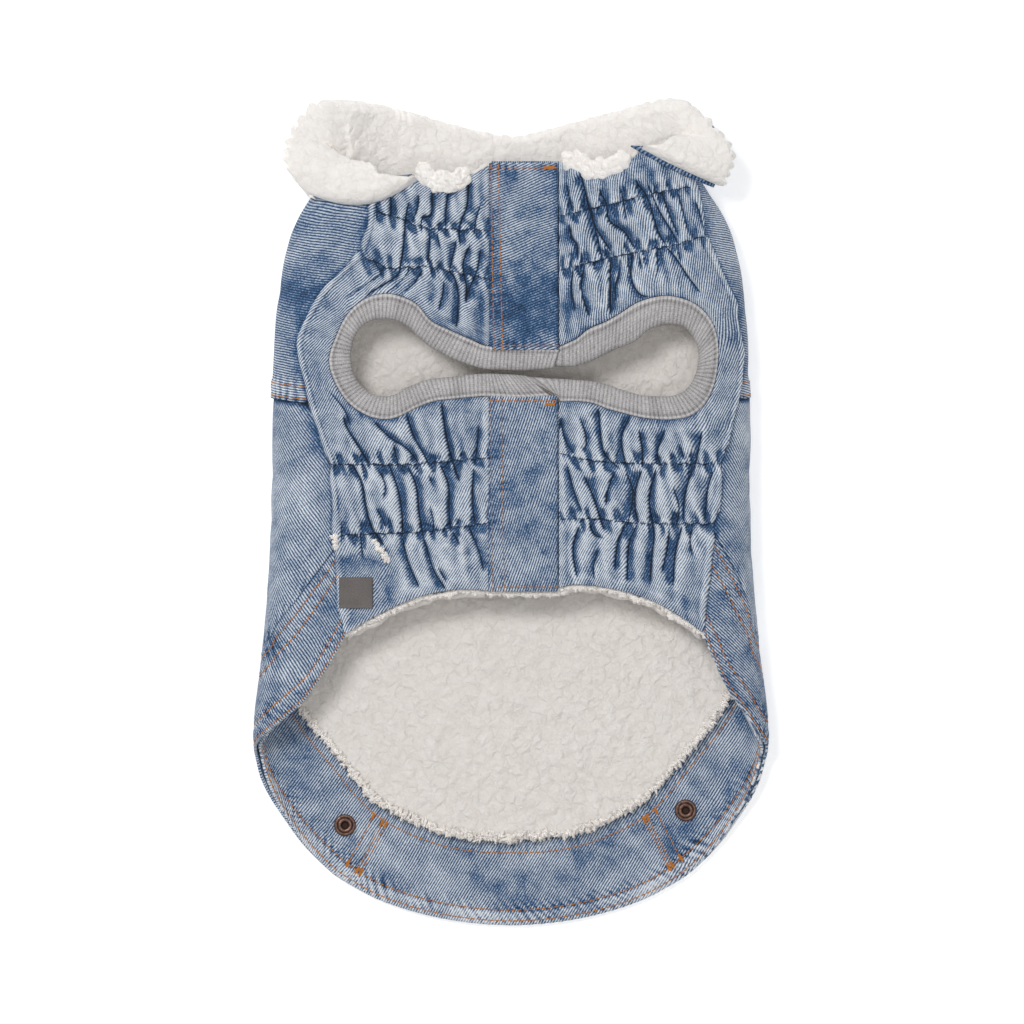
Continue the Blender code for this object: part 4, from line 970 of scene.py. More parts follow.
def cloth(name, points, below, uv, fade, fabric, thickness=0.0, closed=False, fields=None):
    """A sheet of cloth from a grid of points, named after the node that it replaces and what it is made of.
    `below` lies under its face. closed joins its last row to its first."""
    look, slot = FABRICS[fabric]
    columns, rows = points.shape[:2]
    index = np.arange(columns * rows).reshape(columns, rows)
    if closed:
        index = np.concatenate([index, index[:, :1]], axis=1)
    quads = np.stack([index[:-1, :-1], index[1:, :-1], index[1:, 1:], index[:-1, 1:]], axis=-1)
    i, j = columns // 2, rows // 2
    along = points[i + 1, j] - points[i - 1, j]
    out = points[i, j + 1] - points[i, j - 1]
    if np.dot(np.cross(along, out), below[i, j] - points[i, j]) > 0:
        quads = quads[..., ::-1]
    quads = quads.reshape(-1, 4)
    mesh = bpy.data.meshes.new(name)
    mesh.from_pydata((points.reshape(-1, 3) * MM).tolist(), [], quads.tolist())
    layer = mesh.uv_layers.new(name="weave")
    layer.data.foreach_set("uv", uv.reshape(-1, 2)[quads.ravel()].astype(np.float32).ravel())
    # The tone field carries each cloth's own tone together with painted light and shade on its raised and
    # sunk parts.
    for key, field in {"fade": fade, **(fields or {})}.items():
        values = mesh.attributes.new(key, "FLOAT", "POINT")
        field = np.ascontiguousarray(np.broadcast_to(field, (columns, rows)), dtype=np.float32)
        values.data.foreach_set("value", field.ravel())
    mesh.materials.append(look)
    mesh.shade_smooth()
    made = add_piece(name, mesh, slot)
    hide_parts(name.rsplit("_", 1)[0])
    if thickness:
        wall = made.modifiers.new("cloth thickness", "SOLIDIFY")
        wall.thickness = thickness * MM
        wall.offset = -1.0
        wall.use_rim = True


# ---- back pieces

BACK_COLUMNS, YOKE_ROWS, BODY_ROWS = 221, 50, 68
BAND_COLUMNS, FACING_COLUMNS, BAND_ROWS = 341, 401, 30
LINING_COLUMNS, LINING_ROWS = 251, 221
# Widths of the yoke's felled seam, of the band's turned hem and of the facing's.
FELLED, BAND_TURN, FACING_TURN = 8.6, 7.2, 6.4
FLOOR_GAP = 0.05
BODY_FOLDS = (
    (5, 0.5, -140, 70, -112, 52, -86, 44), (4, 0.4, -146, 30, -120, 18, -98, 16, -70, 22),
    (5, 0.5, -138, -12, -112, -4, -84, -16), (6, 0.6, -60, 40, -32, 12, -18, -24),
    (5, 0.4, -50, -20, -22, -48, 10, -60), (6, 0.6, 22, 46, 34, 18, 62, -8),
    (5, 0.5, 40, -40, 66, -30, 92, -34), (4, 0.5, 144, 34, 122, 26, 100, 6),
    (5, 0.4, 148, -2, 124, -16, 98, -18), (5, 0.4, 88, 46, 104, 28, 112, 2),
    (4.5, 0.4, -8, -90, 6, -120, 2, -146), (5, 0.4, -52, -76, -44, -100, -30, -112),
    (5, 0.4, 48, -78, 42, -104, 54, -120),
)
YOKE_FOLDS = (
    (5, 0.5, -132, 92, -106, 96, -84, 84), (5, 0.4, -70, 118, -52, 92, -48, 66),
    (6, 0.5, -24, 112, -6, 88, 18, 80), (5, 0.5, 36, 120, 44, 92, 66, 70),
    (5, 0.5, 134, 98, 112, 88, 90, 92), (4, 0.4, 140, 70, 118, 62, 96, 66),
)
# Stitch lines of the hem band. Columns: share of its width at the left and at the right end,
# length of the ripples along it, seed.
HEM_STITCHES = ((0.14, 0.10, 3.6, 41), (0.33, 0.30, 3.9, 42), (0.81, 0.80, 3.5, 43), (0.97, 0.96, 3.4, 44))
# Stitch lines of the facing. Columns: distance from the hem edge, length of the ripples, seed.
FACING_STITCHES = ((1.9, 3.4, 54), (6.6, 3.7, 55))
# Stitch lines of the yoke. Columns: distance from its seam, length of the ripples, seed.
YOKE_STITCHES = ((1.6, 3.6, 5), (7.2, 3.9, 6))
FACINGS = ("left", "centre", "right")


def wrap_folds(way, y, table, seed):
    """Height of the soft folds of the back, above and below its plain form."""
    full = valleys(way, y, table)
    return 0.9 * (full - 0.85) + 0.35 * drift(way, y, 26.0, seed) + 0.12 * drift(way, y, 8.0, seed + 1)


def puckers(along, off, size, seed):
    """Small ripples along a stitched line, fading away from it."""
    wave = np.sin(TURN * along / size + 2.2 * drift(along, off, 9.0, seed))
    return wave * bell(off / 3.4) * (0.65 + 0.5 * drift_along(along, 11.0, seed + 1))


def side_seam_shadow(way, y):
    """Painted shadow of the fronts' raised edges on the back: 1 where the cloth meets a side seam, falling
    off within a few mm of it.
    """
    left = way - seam_way(-1, y, SEAM_GAP)
    right = seam_way(1, y, SEAM_GAP) - way
    return np.exp(-np.clip(np.minimum(left, right) - 0.8, 0, None) / 2.2)


def split(flat):
    """The two columns of a flat patch: way and y."""
    return flat[..., 0], flat[..., 1]


def to_foot(flat):
    """Distance of a flat patch's points from the end of their column."""
    return np.hypot(*(flat - flat[:, -1:]).transpose(2, 0, 1))


def height_of(flat):
    """Length of each column of a flat patch."""
    return np.hypot(*(flat[:, -1] - flat[:, 0]).T)[:, None]


def panel(name, flat, relief, fade, angle):
    """A denim piece of the back, raised by its relief, and nowhere below the floor."""
    way, y = split(flat)
    points = wrapped(way, y, -relief)
    points[..., 2] = np.maximum(points[..., 2], FLOOR_GAP)
    below = wrapped(way, y, 1.0 - relief)
    cloth(name, points, below, twill_uv(way, y, angle), fade, "denim", DENIM)
    return points


def back_yoke(neck, seam, t):
    flat = back_patch(neck, seam, t, steps(YOKE_ROWS))
    way, y = split(flat)
    off = y - y[:, -1:]
    lower, upper = (puckers(way, off - at, size, seed) for at, size, seed in YOKE_STITCHES)
    felled = 0.7 * unit((FELLED - off) / 1.2)
    relief = wrap_folds(way, y, YOKE_FOLDS, 11) + felled + 0.3 * lower
    relief += 0.25 * upper
    # Raised cloth is paler, as wear together with painted light; the lower edge is darkened as painted shadow
    # at the felled seam, and the sides as painted shadow of the fronts.
    fade = 0.47 + 0.10 * drift(way, y, 16.0, 3) + 0.25 * relief + 0.20 * lower
    fade += 0.16 * bell((off - FELLED) / 0.9) + 0.2 * upper
    fade -= 0.28 * bell((off + 0.3) / 0.9)
    fade -= 0.26 * side_seam_shadow(way, y)
    return panel("back_yoke_cloth", flat, relief, fade, TWILL["yoke"]), off[:, 0]


def back_body(yoke_seam, band_seam, t):
    flat = back_patch(yoke_seam, band_seam, t, steps(BODY_ROWS))
    way, y = split(flat)
    off = y[:, :1] - y
    foot = to_foot(flat)
    stitched = puckers(way, foot - 1.5, 3.7, 8)
    relief = wrap_folds(way, y, BODY_FOLDS, 21) * np.clip(foot / 6.0, 0.3, 1)
    relief += 0.25 * stitched
    # Raised cloth is paler, as wear together with painted light; the top is darkened as painted shadow under
    # the yoke's felled edge, and the sides as painted shadow of the fronts.
    fade = 0.53 - 0.03 * np.tanh(-way / 60.0) + 0.12 * drift(way, y, 18.0, 4)
    fade = fade + 0.24 * relief + 0.10 * drift(way, y, 5.0, 14)
    fade += 0.22 * stitched - 0.34 * bell(off / 1.3)
    fade += 0.12 * bell((off - 3.4) / 1.6) - 0.26 * side_seam_shadow(way, y)
    panel("back_body_cloth", flat, relief, fade, TWILL["body"])


def hem_band(shift):
    fine = np.linspace(0, HEM_END, BAND_COLUMNS)
    t, v = fine / HEM_END, steps(BAND_ROWS)
    flat = back_patch(moved(hem_line(1, fine), shift), hem_line(0, fine), t, v)
    way, y = split(flat)
    run = run_along(flat[:, BAND_ROWS // 2])[:, None] * np.ones_like(way)
    wide = height_of(flat)
    relief = 0.35 * drift(way, y, 15.0, 31)
    fade = 0.47 + 0.15 * drift(way, y, 14.0, 32) + 0.11 * drift(way, y, 4.0, 33)
    for left, right, size, seed in HEM_STITCHES:
        off = (v - (left + (right - left) * t[:, None])) * wide
        ripple = puckers(run + 0.7 * off, off, size, seed)
        relief = relief + 0.34 * ripple - 0.25 * bell(off / 0.8)
        fade = fade + 0.40 * ripple - 0.1 * bell(off / 0.7)
    rim = (1 - v) * wide
    relief = relief + 0.5 * unit(BAND_TURN - rim)
    fade = fade + 0.22 * bell(rim) + 0.16 * bell((rim - BAND_TURN) / 0.9) - 0.25 * bell((v * wide) / 0.9)
    return panel("hem_band_cloth", flat, relief, fade, TWILL["band"])


def back_panels():
    share = np.linspace(-1, 1, BACK_COLUMNS)
    t = (share + 1) / 2
    shift = SEAM_GAP / 2 * 0.4
    yoke_seam = across(YOKE_SEAM, share, SEAM_GAP)
    band_seam = hem_line(1, seam_rows_at(share))
    yoke = back_yoke(across(NECK_EDGE, share, SEAM_GAP), moved(yoke_seam, shift), t)
    back_body(moved(yoke_seam, -shift), moved(band_seam, shift), t)
    return yoke, hem_band(-shift)


def hem_facing(name, piece, v):
    """One length of the facing inside the tail hem, from its flat patch."""
    way, y = split(piece)
    wide = height_of(piece)
    run = run_along(piece[:, BAND_ROWS // 2])[:, None]
    rim = (1 - v) * wide
    relief = 0.3 * drift(way, y, 16.0, 51) + 0.35 * unit((FACING_TURN - rim) / 0.8)
    fade = 0.50 + 0.16 * drift(way, y, 15.0, 52) + 0.12 * drift(way, y, 5.0, 53)
    for off_rim, size, seed in FACING_STITCHES:
        off = rim - off_rim
        ripple = puckers(run + 0.8 * off, off, size, seed)
        relief = relief + 0.3 * ripple - 0.22 * bell(off / 0.8)
        fade = fade + 0.42 * ripple - 0.12 * bell(off / 0.7)
    fade = fade + 0.22 * unit(6.2 - rim) + 0.12 * bell(rim / 1.1)
    fade = fade - (0.06 if name == "right" else 0.0) - 0.12 * unit((y + 75.0) / 25.0)
    fade = fade + 0.18 * puckers(run, v * wide - 2.6, 3.6, 56)
    depth = FACING_DEPTH + DENIM
    points = wrapped(way, y, depth + relief - 0.2)
    below = wrapped(way, y, depth - 2.0)
    cloth(f"hem_facing_{name}_cloth", points, below, twill_uv(way, y, TWILL[name]), fade, "facing", DENIM)
    return points


def hem_facings():
    hem_at = seam_rows_at(np.linspace(-1, 1, FACING_COLUMNS))
    inside = moved(hem_line(2, hem_at), -FACING_SEAM_GAP / 2)
    v = steps(BAND_ROWS)
    flat = back_patch(inside, hem_line(0, hem_at), hem_at / HEM_END, v, LINING_SEAM_GAP)
    stops = (0.0, FACING_JOIN_LEFT, FACING_JOIN_RIGHT, float(HEM_END))
    made = {}
    for name, start, end in zip(FACINGS, stops, stops[1:]):
        between = hem_at[(hem_at > start + 0.02) & (hem_at < end - 0.02)]
        wanted = np.concatenate([[start], between, [end]])
        piece = np.stack([through_at(hem_at, row, wanted) for row in flat.transpose(1, 0, 2)], axis=1)
        made[name] = hem_facing(name, piece, v)
    return made


def back_lining():
    """The pile inside the back; its end is ragged and rolls down. Gives the edge where its tufts stand."""
    share = np.linspace(-1, 1, LINING_COLUMNS)
    lining_end = moved(hem_line(2, seam_rows_at(share)), -0.6)
    neck = across(NECK_EDGE, share, SEAM_GAP)
    flat = back_patch(neck, lining_end, (share + 1) / 2, steps(LINING_ROWS), LINING_SEAM_GAP + 1.0)
    way, y = split(flat)
    foot = to_foot(flat)
    ragged = 0.9 + 0.8 * drift(way, y, 3.4, 61) + 0.9 * drift(way, y, 9.0, 62)
    big, small = curls(way, y, 0.0, 6.0, 63), curls(way, y, 0.0, 2.6, 64)
    near = unit((foot + ragged - 0.6) / 3.6)
    height = (PILE - 0.9) * rounded(near) + (big + 0.75 * small) * (0.35 + 0.65 * near)
    outwards = flat[:, -1:] - flat[:, -12:-11]
    shift = unit(1 - foot / 6.0)[..., None] * outwards
    moved_out = flat + shift / np.linalg.norm(outwards, axis=2, keepdims=True) * (ragged[..., None] - 0.6)
    points = wrapped(*split(moved_out), FACING_DEPTH + DENIM * 0.2 + height)
    # Painted light and shade: paler on the curls and darker between them.
    fade = 0.62 + 0.25 * (big - 0.5) + 0.15 * (small - 0.5)
    cloth("back_lining_pile", points, wrapped(way, y, 0.0), twill_uv(way, y, 0.0), fade, "pile")
    return points[14:-14, -2] + (0.0, 0.0, 0.8)


# ---- fronts

LEFT_PATCHES = (
    (-21, 91, 11, 14, -0.16), (-62, 93, 14, 9, 0.14), (-40, 118, 16, 10, 0.04), (-60, 10, 10, 22, 0.06),
    (-30, -20, 14, 8, 0.05), (-20, 30, 8, 8, -0.12), (-64, 42, 8, 8, -0.08), (-74, -10, 8, 9, -0.1),
)
RIGHT_PATCHES = (
    (70, 108, 14, 12, 0.12), (28, 88, 9, 12, -0.2), (46, 122, 26, 22, -0.07), (58, 146, 10, 8, -0.14),
    (24, 128, 5, 22, -0.1), (64, 8, 14, 16, 0.05), (30, 8, 8, 16, -0.05), (80, 0, 8, 24, 0.05),
)
FRONT_ROWS = 140
GATHER_SPACING, DIMPLE_SPACING, TUBE_SPACING, SCALLOP_SPACING = 3.0, 7.2, 8.5, 4.7
# Where the gathers meet the placket at its left and right, and the point past which the twill turns.
PLACKET_LEFT, PLACKET_RIGHT = -10.5, 21.8
TWILL_PIVOT = (88.0, 68.0)
# Where the cloth's columns lie that run on under the placket, at both ends of a front.
UNDER_LEFT = (-10.2, -9.2, -8.0, -7.0)
UNDER_RIGHT = (20.4, 12.0, 4.0, UNDERLAP_LEFT)
LOWEST_FADE = 0.22


def shirring(x, y):
    """Distance to the nearest shirring row, large where there is none."""
    nearest = np.full(np.shape(x), 99.0)
    for row in SHIRRING:
        row_x, row_y = np.transpose(row)
        on_row = (x > row_x[0] - 1) & (x < row_x[-1] + 1)
        off = y - np.interp(x, row_x, row_y)
        nearest = np.where(on_row & (np.abs(off) < np.abs(nearest)), off, nearest)
    return nearest


def make_front(name, front, lines, table, per_row, angles):
    """A gathered front. The last rows turn under at the seam and at the armhole, by the cloth's thickness."""
    left = front.side < 0
    v = np.concatenate([[0.0, 0.0], steps(FRONT_ROWS), [1.0, 1.0]])[None, :]
    turned = np.concatenate([[1.0, 0.45], np.zeros(FRONT_ROWS), [0.45, 1.0]])[None, :]
    at = front.rows_at(per_row)
    x, y, height = front.plan(at, v[0], ARMHOLE_GAP * 0.3, SEAM_GAP, (0.0, 0.0))
    height = height[:, None] + 0 * x
    first, last = front.corners
    on_seam = ((at > first) & (at < last))[:, None]

    # The cloth runs on under the placket at both ends.
    under = np.array(UNDER_LEFT if left else UNDER_RIGHT)
    end_x = under[:, None] + 0 * x[:1]
    x = np.concatenate([end_x[::-1], x, end_x])
    more = ((len(under), len(under)), (0, 0))
    y, height = np.pad(y, more, mode="edge"), np.pad(height, more, mode="edge")
    on_seam = np.pad(on_seam, more)
    row_off = shirring(x, y)
    seed = 70 if left else 90

    # The gathered edge swells out over the side seam between the shirring rows.
    swell = (1.5 + 0.7 * drift_along(y, 7.0, seed + 8)) * (1 - 0.85 * bell(row_off / 4.5))
    x = x + front.side * np.where(on_seam, swell * unit((v - 0.93) / 0.07), 0)

    full, blue, crease, crease_on = folds(x, y, lines, row_off, seed)
    soft, small = drift(x, y, 11.0, seed + 2), drift(x, y, 3.6, seed + 1)
    streak = drift(x + 0.15 * y, y * 0.20, 2.7, seed + 12)
    wander = 2.4 * drift(x, y, 7.5, seed + 3) + 1.1 * drift(x, y, 3.4, seed + 4)
    teeth = np.cos(TURN * (x + 0.3 * row_off) / GATHER_SPACING + wander)
    near = bell(row_off / ROW_REACH)
    # Dimples above and below each row, and the narrow folds between them that run up to it.
    over = x + 40 * np.sign(row_off)
    sway = 3.4 * drift(over, y * 0.2, 10.0, seed + 10) + 0.8 * drift(x, y, 4.0, seed + 11)
    turn = np.cos(TURN * (x + 0.2 * row_off) / DIMPLE_SPACING + sway)
    reach = 3.4 + 1.4 * drift_along(over, 8.0, seed + 13)
    dimple = unit(turn * 1.3 - 0.05) ** 1.2 * bell((np.abs(row_off) - 0.8 * reach) / (0.66 * reach))
    ridge = unit(-turn * 1.6 - 0.5) * bell(row_off / 4.2)
    # Soft upright tubes between the main creases.
    lean = 4.0 * drift(x, y * 0.5, 16.0, seed + 14) + 1.2 * drift(x, y, 6.0, seed + 15)
    tubes = np.cos(TURN * (x + 0.25 * y) / TUBE_SPACING + lean) * bell(row_off / 16.0)

    # Each row is a scalloped line: the cloth on one side of it hangs over the other, and a painted shadow
    # line runs along its edge.
    phase = math.pi * x / SCALLOP_SPACING + 2.0 * drift(x, x * 0 + np.round(y / 30), 9.0, seed + 16)
    hang = 1.5 * (np.abs(np.sin(phase)) - 0.6)
    hang = hang * (0.55 + 0.45 * drift_along(x, 10.0, seed + 17)) * unit(height)
    scallop = row_off - hang
    scallop_on = unit((4.0 - np.abs(scallop)) / 1.5)
    scallop_on = scallop_on * unit(0.55 + 0.6 * drift_along(x, 5.0, seed + 18))
    scallop_on = np.where(np.abs(row_off) < 50, scallop_on, 0) * np.clip(height / 1.2, 0.3, 1)
    step = np.where(scallop > 0, np.exp(-np.abs(scallop) / 1.6), -np.exp(-np.abs(scallop) / 1.1))
    step = step * unit(np.abs(scallop) / 0.35)

    near_placket = unit(1 - (np.abs(x - (PLACKET_LEFT if left else PLACKET_RIGHT)) / 7.0))
    calm = label_calm(x, y)
    height = np.maximum(np.maximum(height, 0.35), 1.5 * near_placket) * calm
    edge = unit(np.minimum(v / 0.09, (1 - v) / 0.05))
    edge = np.where(on_seam, edge * 0.72 + 0.28, edge * 0.4 + 0.6)
    form = 1.55 * full * (1 - 0.45 * near) - 0.40 - 0.85 * dimple + 0.30 * ridge + 0.34 * teeth * near * full
    form = form + 0.26 * tubes * (1 - near) + 0.30 * step * calm
    lift = height * edge * (form + 0.06 * small + 0.12 * soft + 0.12 * streak)
    rolled = unit((v - 0.9) / 0.05) * (1 - unit((v - 0.97) / 0.03) ** 2)
    lift = np.where(on_seam, lift + 0.8 * rolled, lift)
    # How far the cloth stands above its surroundings, which below makes raised cloth paler and sunk cloth
    # darker: wash wear together with painted light and shade.
    wear_and_painted_light = lift - blurred(lift, 5, 5)
    # Towards the placket the cloth comes down to its edge and runs under it.
    if left:
        down = unit((x + 12.4) / 2.2)
        lift = lift * (1 - 0.8 * down) + 0.15 * down
        lift = lift - 1.6 * unit((x + 9.8) / 0.9)
    else:
        down = unit((23.0 - x) / 1.2)
        lift = lift * (1 - 0.6 * down)
        lift = lift * unit((x - 19.5) / 1.6) - underlap(x)
        # A painted shadow line along the placket's right edge, which overhangs this front.
        beside_placket = x - 20.8
        nearer = np.abs(beside_placket) < np.abs(crease)
        crease = np.where(nearer, beside_placket, crease)
        crease_on = np.where(nearer, 0.9 * unit(1.6 - np.abs(beside_placket)), crease_on)
    strength = np.clip(height / 1.3, 0.25, 1)
    # The tone follows the lift through soft, small, streak and ridge too, as wear with painted light and
    # shade. The blue beside the creases and the dimples are painted shade; the pale outer edge is a painted
    # highlight on worn cloth.
    blue = blue * unit(0.75 + 0.6 * drift(x, y, 4.5, seed + 21))
    fade = 0.535 - 0.025 * unit((y - 60.0) / 40.0) + 0.08 * soft + 0.05 * small + patches(x, y, table)
    fade = fade + strength * (0.08 * streak - 0.30 * blue - 0.46 * dimple + 0.14 * ridge)
    fade = fade + np.clip(0.58 * wear_and_painted_light, -0.32, 0.25)
    fade = soft_floor(fade + 0.12 * bell((v - 1) / 0.02) - 0.14 * bell(v / 0.02), LOWEST_FADE)
    pivot = (front.side * TWILL_PIVOT[0], TWILL_PIVOT[1])
    uv = turning_twill(x + 1.0 * soft + 0.55 * lift, y + 0.5 * small + 0.4 * lift, pivot, *angles) * 1.1
    points = on_top(x, y, turned * DENIM - lift)
    below = on_top(x, y, turned * DENIM - lift + DENIM)
    crease_on = crease_on * strength * calm * unit(0.85 + 0.5 * drift(x, y, 5.0, seed + 20))
    fields = {"crease": np.clip(crease, -3, 3), "crease_on": crease_on}
    fields |= {"scallop": np.clip(scallop, -3, 3), "scallop_on": scallop_on * calm * 0.8}
    cloth(f"front_{name}_cloth", points, below, uv, fade, "denim", fields=fields)
    return points


def make_front_lining(name, front):
    """The pile inside a front. It shows at the edges, turns round them and runs a little way back below."""
    seed = 70 if front.side < 0 else 90
    rows, rim_rows, back_rows = 40, 5, 14
    v = steps(rows)
    rim = np.linspace(0.1, 0.9, rim_rows)
    around = np.concatenate([v, [1.0] * rim_rows, v[::-1][:back_rows]])[None, :]
    fall = np.concatenate([np.zeros(rows), rim, np.ones(back_rows)])[None, :]
    bulge = np.concatenate([np.zeros(rows), np.sin(math.pi * rim), np.zeros(back_rows)])[None, :]
    x, y, height = front.plan(front.rows_at(11), around[0], ARMHOLE_GAP, LINING_SEAM_GAP, (0.6, 2.6))
    rag = 0.7 * drift(x, y, 3.0, seed + 5) + 0.6 * drift(x, y, 8.0, seed + 6)
    y = y + np.where(y < 50, -1.0, 1.0) * (bulge * 1.2 + rag * unit((around - 0.9) * 10))
    lumps = 0.7 * curls(x, y, 0.0, 2.8, seed + 7)
    depth = DENIM + PLY_GAP + 0.75 * height[:, None] + fall * PILE - lumps * (1 - 2 * fall)
    if front.side > 0:
        depth = np.maximum(depth, DENIM + PLY_GAP + underlap(x))
    points, below = (on_top(x, y, depth + more) for more in (0.0, 2.0))
    uv = twill_uv(x, y + 9 * fall, 0.0)
    # Painted light and shade: paler on the curls and darker between them.
    cloth(f"front_lining_{name}_pile", points, below, uv, 0.55 + 0.4 * lumps, "pile")


# ---- plackets

CHEST_PATCHES = (
    (4, 139, 22, 9, 0.07), (4, 88, 24, 16, -0.3), (14, 97, 9, 5, -0.1), (4, 149, 22, 5, -0.06),
    (6, 124, 30, 26, -0.05), (4, 118, 16, 6, -0.05),
)
BELLY_PATCHES = (
    (-6, 31, 5, 6, -0.22), (8, 23, 14, 6, 0.1), (6, -26, 16, 6, 0.1), (10, 0, 12, 10, -0.06),
)


def make_placket(name, corners, table, lines_v, seed):
    corners = np.array(corners, float)
    # The end beside the armholes reaches the bindings: the chest's lies on them, the belly's under them.
    on_chest = name == "placket_chest"
    corners[-1 if on_chest else 0, 2] += -1.9 if on_chest else 1.9
    left, right, down = through(corners, np.linspace(0, len(corners) - 1, 150)).T[:, None]
    share = steps(50)[:, None]
    x = left + (right - left) * share
    y = np.repeat(down, len(share), 0)
    wide = right - left
    from_left = share * wide
    from_right = wide - from_left
    end_off = np.minimum(y[:, :1] - y, y - y[:, -1:])
    lift = PLACKET_LIFT - 0.5 * unit(1 - from_right / 1.3) ** 2
    lift = lift - (PLACKET_LIFT - 0.25) * unit(1 - from_left / 3.6) ** 1.6
    lift = lift + 0.30 * drift(x, y, 14.0, seed) + 0.10 * drift(x, y, 5.0, seed + 1)
    fade = 0.45 + 0.12 * drift(x, y, 9.0, seed + 2) + 0.09 * drift(x, y, 3.5, seed + 3) + patches(x, y, table)
    # The shirring rows of the left front tug at its left edge, and the dips are darkened as painted shade.
    tug = bell(shirring(np.full(x.shape, PLACKET_LEFT), y) / 2.2) * unit(1 - from_left / 6.5)
    lift = lift - 0.35 * tug
    fade = soft_floor(fade - 0.24 * tug, LOWEST_FADE)
    for off_left, size, offset_seed in lines_v:
        off = from_left - off_left
        ripple = puckers(y, off, size, seed + offset_seed)
        lift = lift + 0.10 * ripple - 0.2 * bell(off / 0.7)
        fade = fade + 0.05 * ripple
    ripple = puckers(x, end_off - 1.6, 3.4, seed + 9)
    fade = fade + 0.14 * ripple
    # Painted shade where the edges turn down, at the left and right.
    fade = fade - 0.10 * bell(from_right / 1.4) + 0.14 * bell(end_off / 0.9)
    fade = fade - 0.12 * bell(from_left / 1.6)
    lift = lift + 0.15 * ripple - 0.4 * unit(1 - end_off / 1.3) ** 2
    by_armhole = y - y[:, -1:] if on_chest else y[:, :1] - y
    lift = lift + (1.0 if on_chest else -0.5) * unit(1 - by_armhole / 4.0)
    points = on_top(x, y, -lift)
    cloth(name + "_cloth", points, on_top(x, y, -lift + 1.5), twill_uv(x, y, TWILL[name]), fade, "denim", 1.0)
    return points


# ---- bindings

RIB_PITCH = 1.75
# Section of a binding. Columns: share of its width from the seam, depth, how much a rib raises it.
RING = (
    (0, 1.2, 0), (0, -0.1, 0.3), (0.02, -0.75, 0.9), (0.09, -1.15, 1), (0.17, -1, 1), (0.3, -1.2, 1),
    (0.45, -1.35, 1), (0.62, -1.25, 1), (0.78, -0.95, 1), (0.9, -0.35, 1), (0.98, 0.6, 1), (1, 1.8, 1),
    (0.98, 3.2, 0.9), (0.93, 4.6, 0.6), (0.8, 5.4, 0.2), (0, 5.4, 0),
)


def run_out(strip, ends, more):
    """Draws the first columns of a strip out, in the direction in which it ends."""
    strip[:ends] = strip[ends] + (strip[ends] - strip[ends + 4]) * more[:, None] / 4 * 3


def make_knit_binding(name, front, seed):
    path = binding_path(front)
    fine = np.linspace(0, len(path) - 1, 60 * len(path))
    found = through(path, fine)
    run = run_along((found[:, :2] + found[:, 2:4]) / 2)
    ribs = int(round(run[-1] / RIB_PITCH))
    found = through(path, np.interp(np.linspace(0, run[-1], ribs * 8 + 1), run, fine))
    free, seam = found[:, :2], found[:, 2:4]
    sunk = np.zeros(len(found))
    if front.side > 0:
        # Its ends go under the left binding.
        ends = 16
        more = np.linspace(9.5, 0, ends, endpoint=False)
        for strip in (free, seam, free[::-1], seam[::-1]):
            run_out(strip, ends, more)
        sunk[:ends] = np.clip(np.linspace(1.9, 0.4, ends), 0, 1.6)
        sunk[-ends:] = sunk[:ends][::-1]
    along = np.linspace(0, ribs, len(found))[:, None]
    rib = np.abs(np.sin(math.pi * (along + 0.12 * drift_along(along * 3, 5.0, seed)))) ** 0.55
    across_share, across_depth, ribbed = np.transpose(RING)[:, None]
    share = across_share + 0.012 * drift_along(along * RIB_PITCH, 6.0, seed + 1) * (across_share > 0.1)
    x, y = (seam[:, None, axis] + (free - seam)[:, None, axis] * share for axis in (0, 1))
    points = on_top(x, y, across_depth - (0.34 * rib - 0.15) * ribbed + sunk[:, None])
    below = points - (points - points[:, 13:14]) * 0.2
    step_in, step_down = 10 * np.diff(across_share, prepend=0), np.diff(across_depth, prepend=RING[0][1])
    across_mm = np.cumsum(np.hypot(step_in, step_down))
    uv = stacked(along * RIB_PITCH + 0 * across_mm, across_mm + 0 * along)
    # Painted light and shade: paler on each rib, darker between ribs and in the groove near the seam.
    fade = 0.25 + 0.38 * rib + 0 * across_mm + 0.05 * drift_along(along * RIB_PITCH, 5.0, seed + 3)
    fade = fade - 0.22 * bell((across_share - 0.17) / 0.05) * (across_depth < 0)
    fade = fade + 0.18 * (across_share < 0.1) * (across_depth < 0)
    cloth(f"binding_{name}_knit", points, below, uv, fade, "knit", closed=True)


# ---- collar

COLLAR_COLUMNS, COLLAR_ROWS = 441, 90
# Where the pile starts and ends on the collar's width, whose seam is 0 and whose edge is 1.
COLLAR_START, COLLAR_STOP = 0.07, 1.035
# Where the wings bunch up. Columns: column, half width in columns, strength.
COLLAR_BUNCHES = ((92, 22.0, 1.0), (356, 20.0, 0.7))
# Rows that turn the pile under along its free edge. Columns: how far in, how far down.
COLLAR_TURN = ((0.4, 0.5), (1.4, 1.0), (3.4, 1.2))


def collar_stations():
    """The collar's seam at even steps along its outer edge, and the distance run there."""
    coarse = collar_seam(np.linspace(-1, 1, 61))
    run = run_along(by_column(COLLAR, coarse[:, 0])[:, 3:6])
    along = np.linspace(0, run[-1], COLLAR_COLUMNS)
    at = np.interp(along, run, coarse[:, 0])
    return np.column_stack([at, smooth(coarse[:, 0], coarse[:, 1:], at)]), along[:, None]


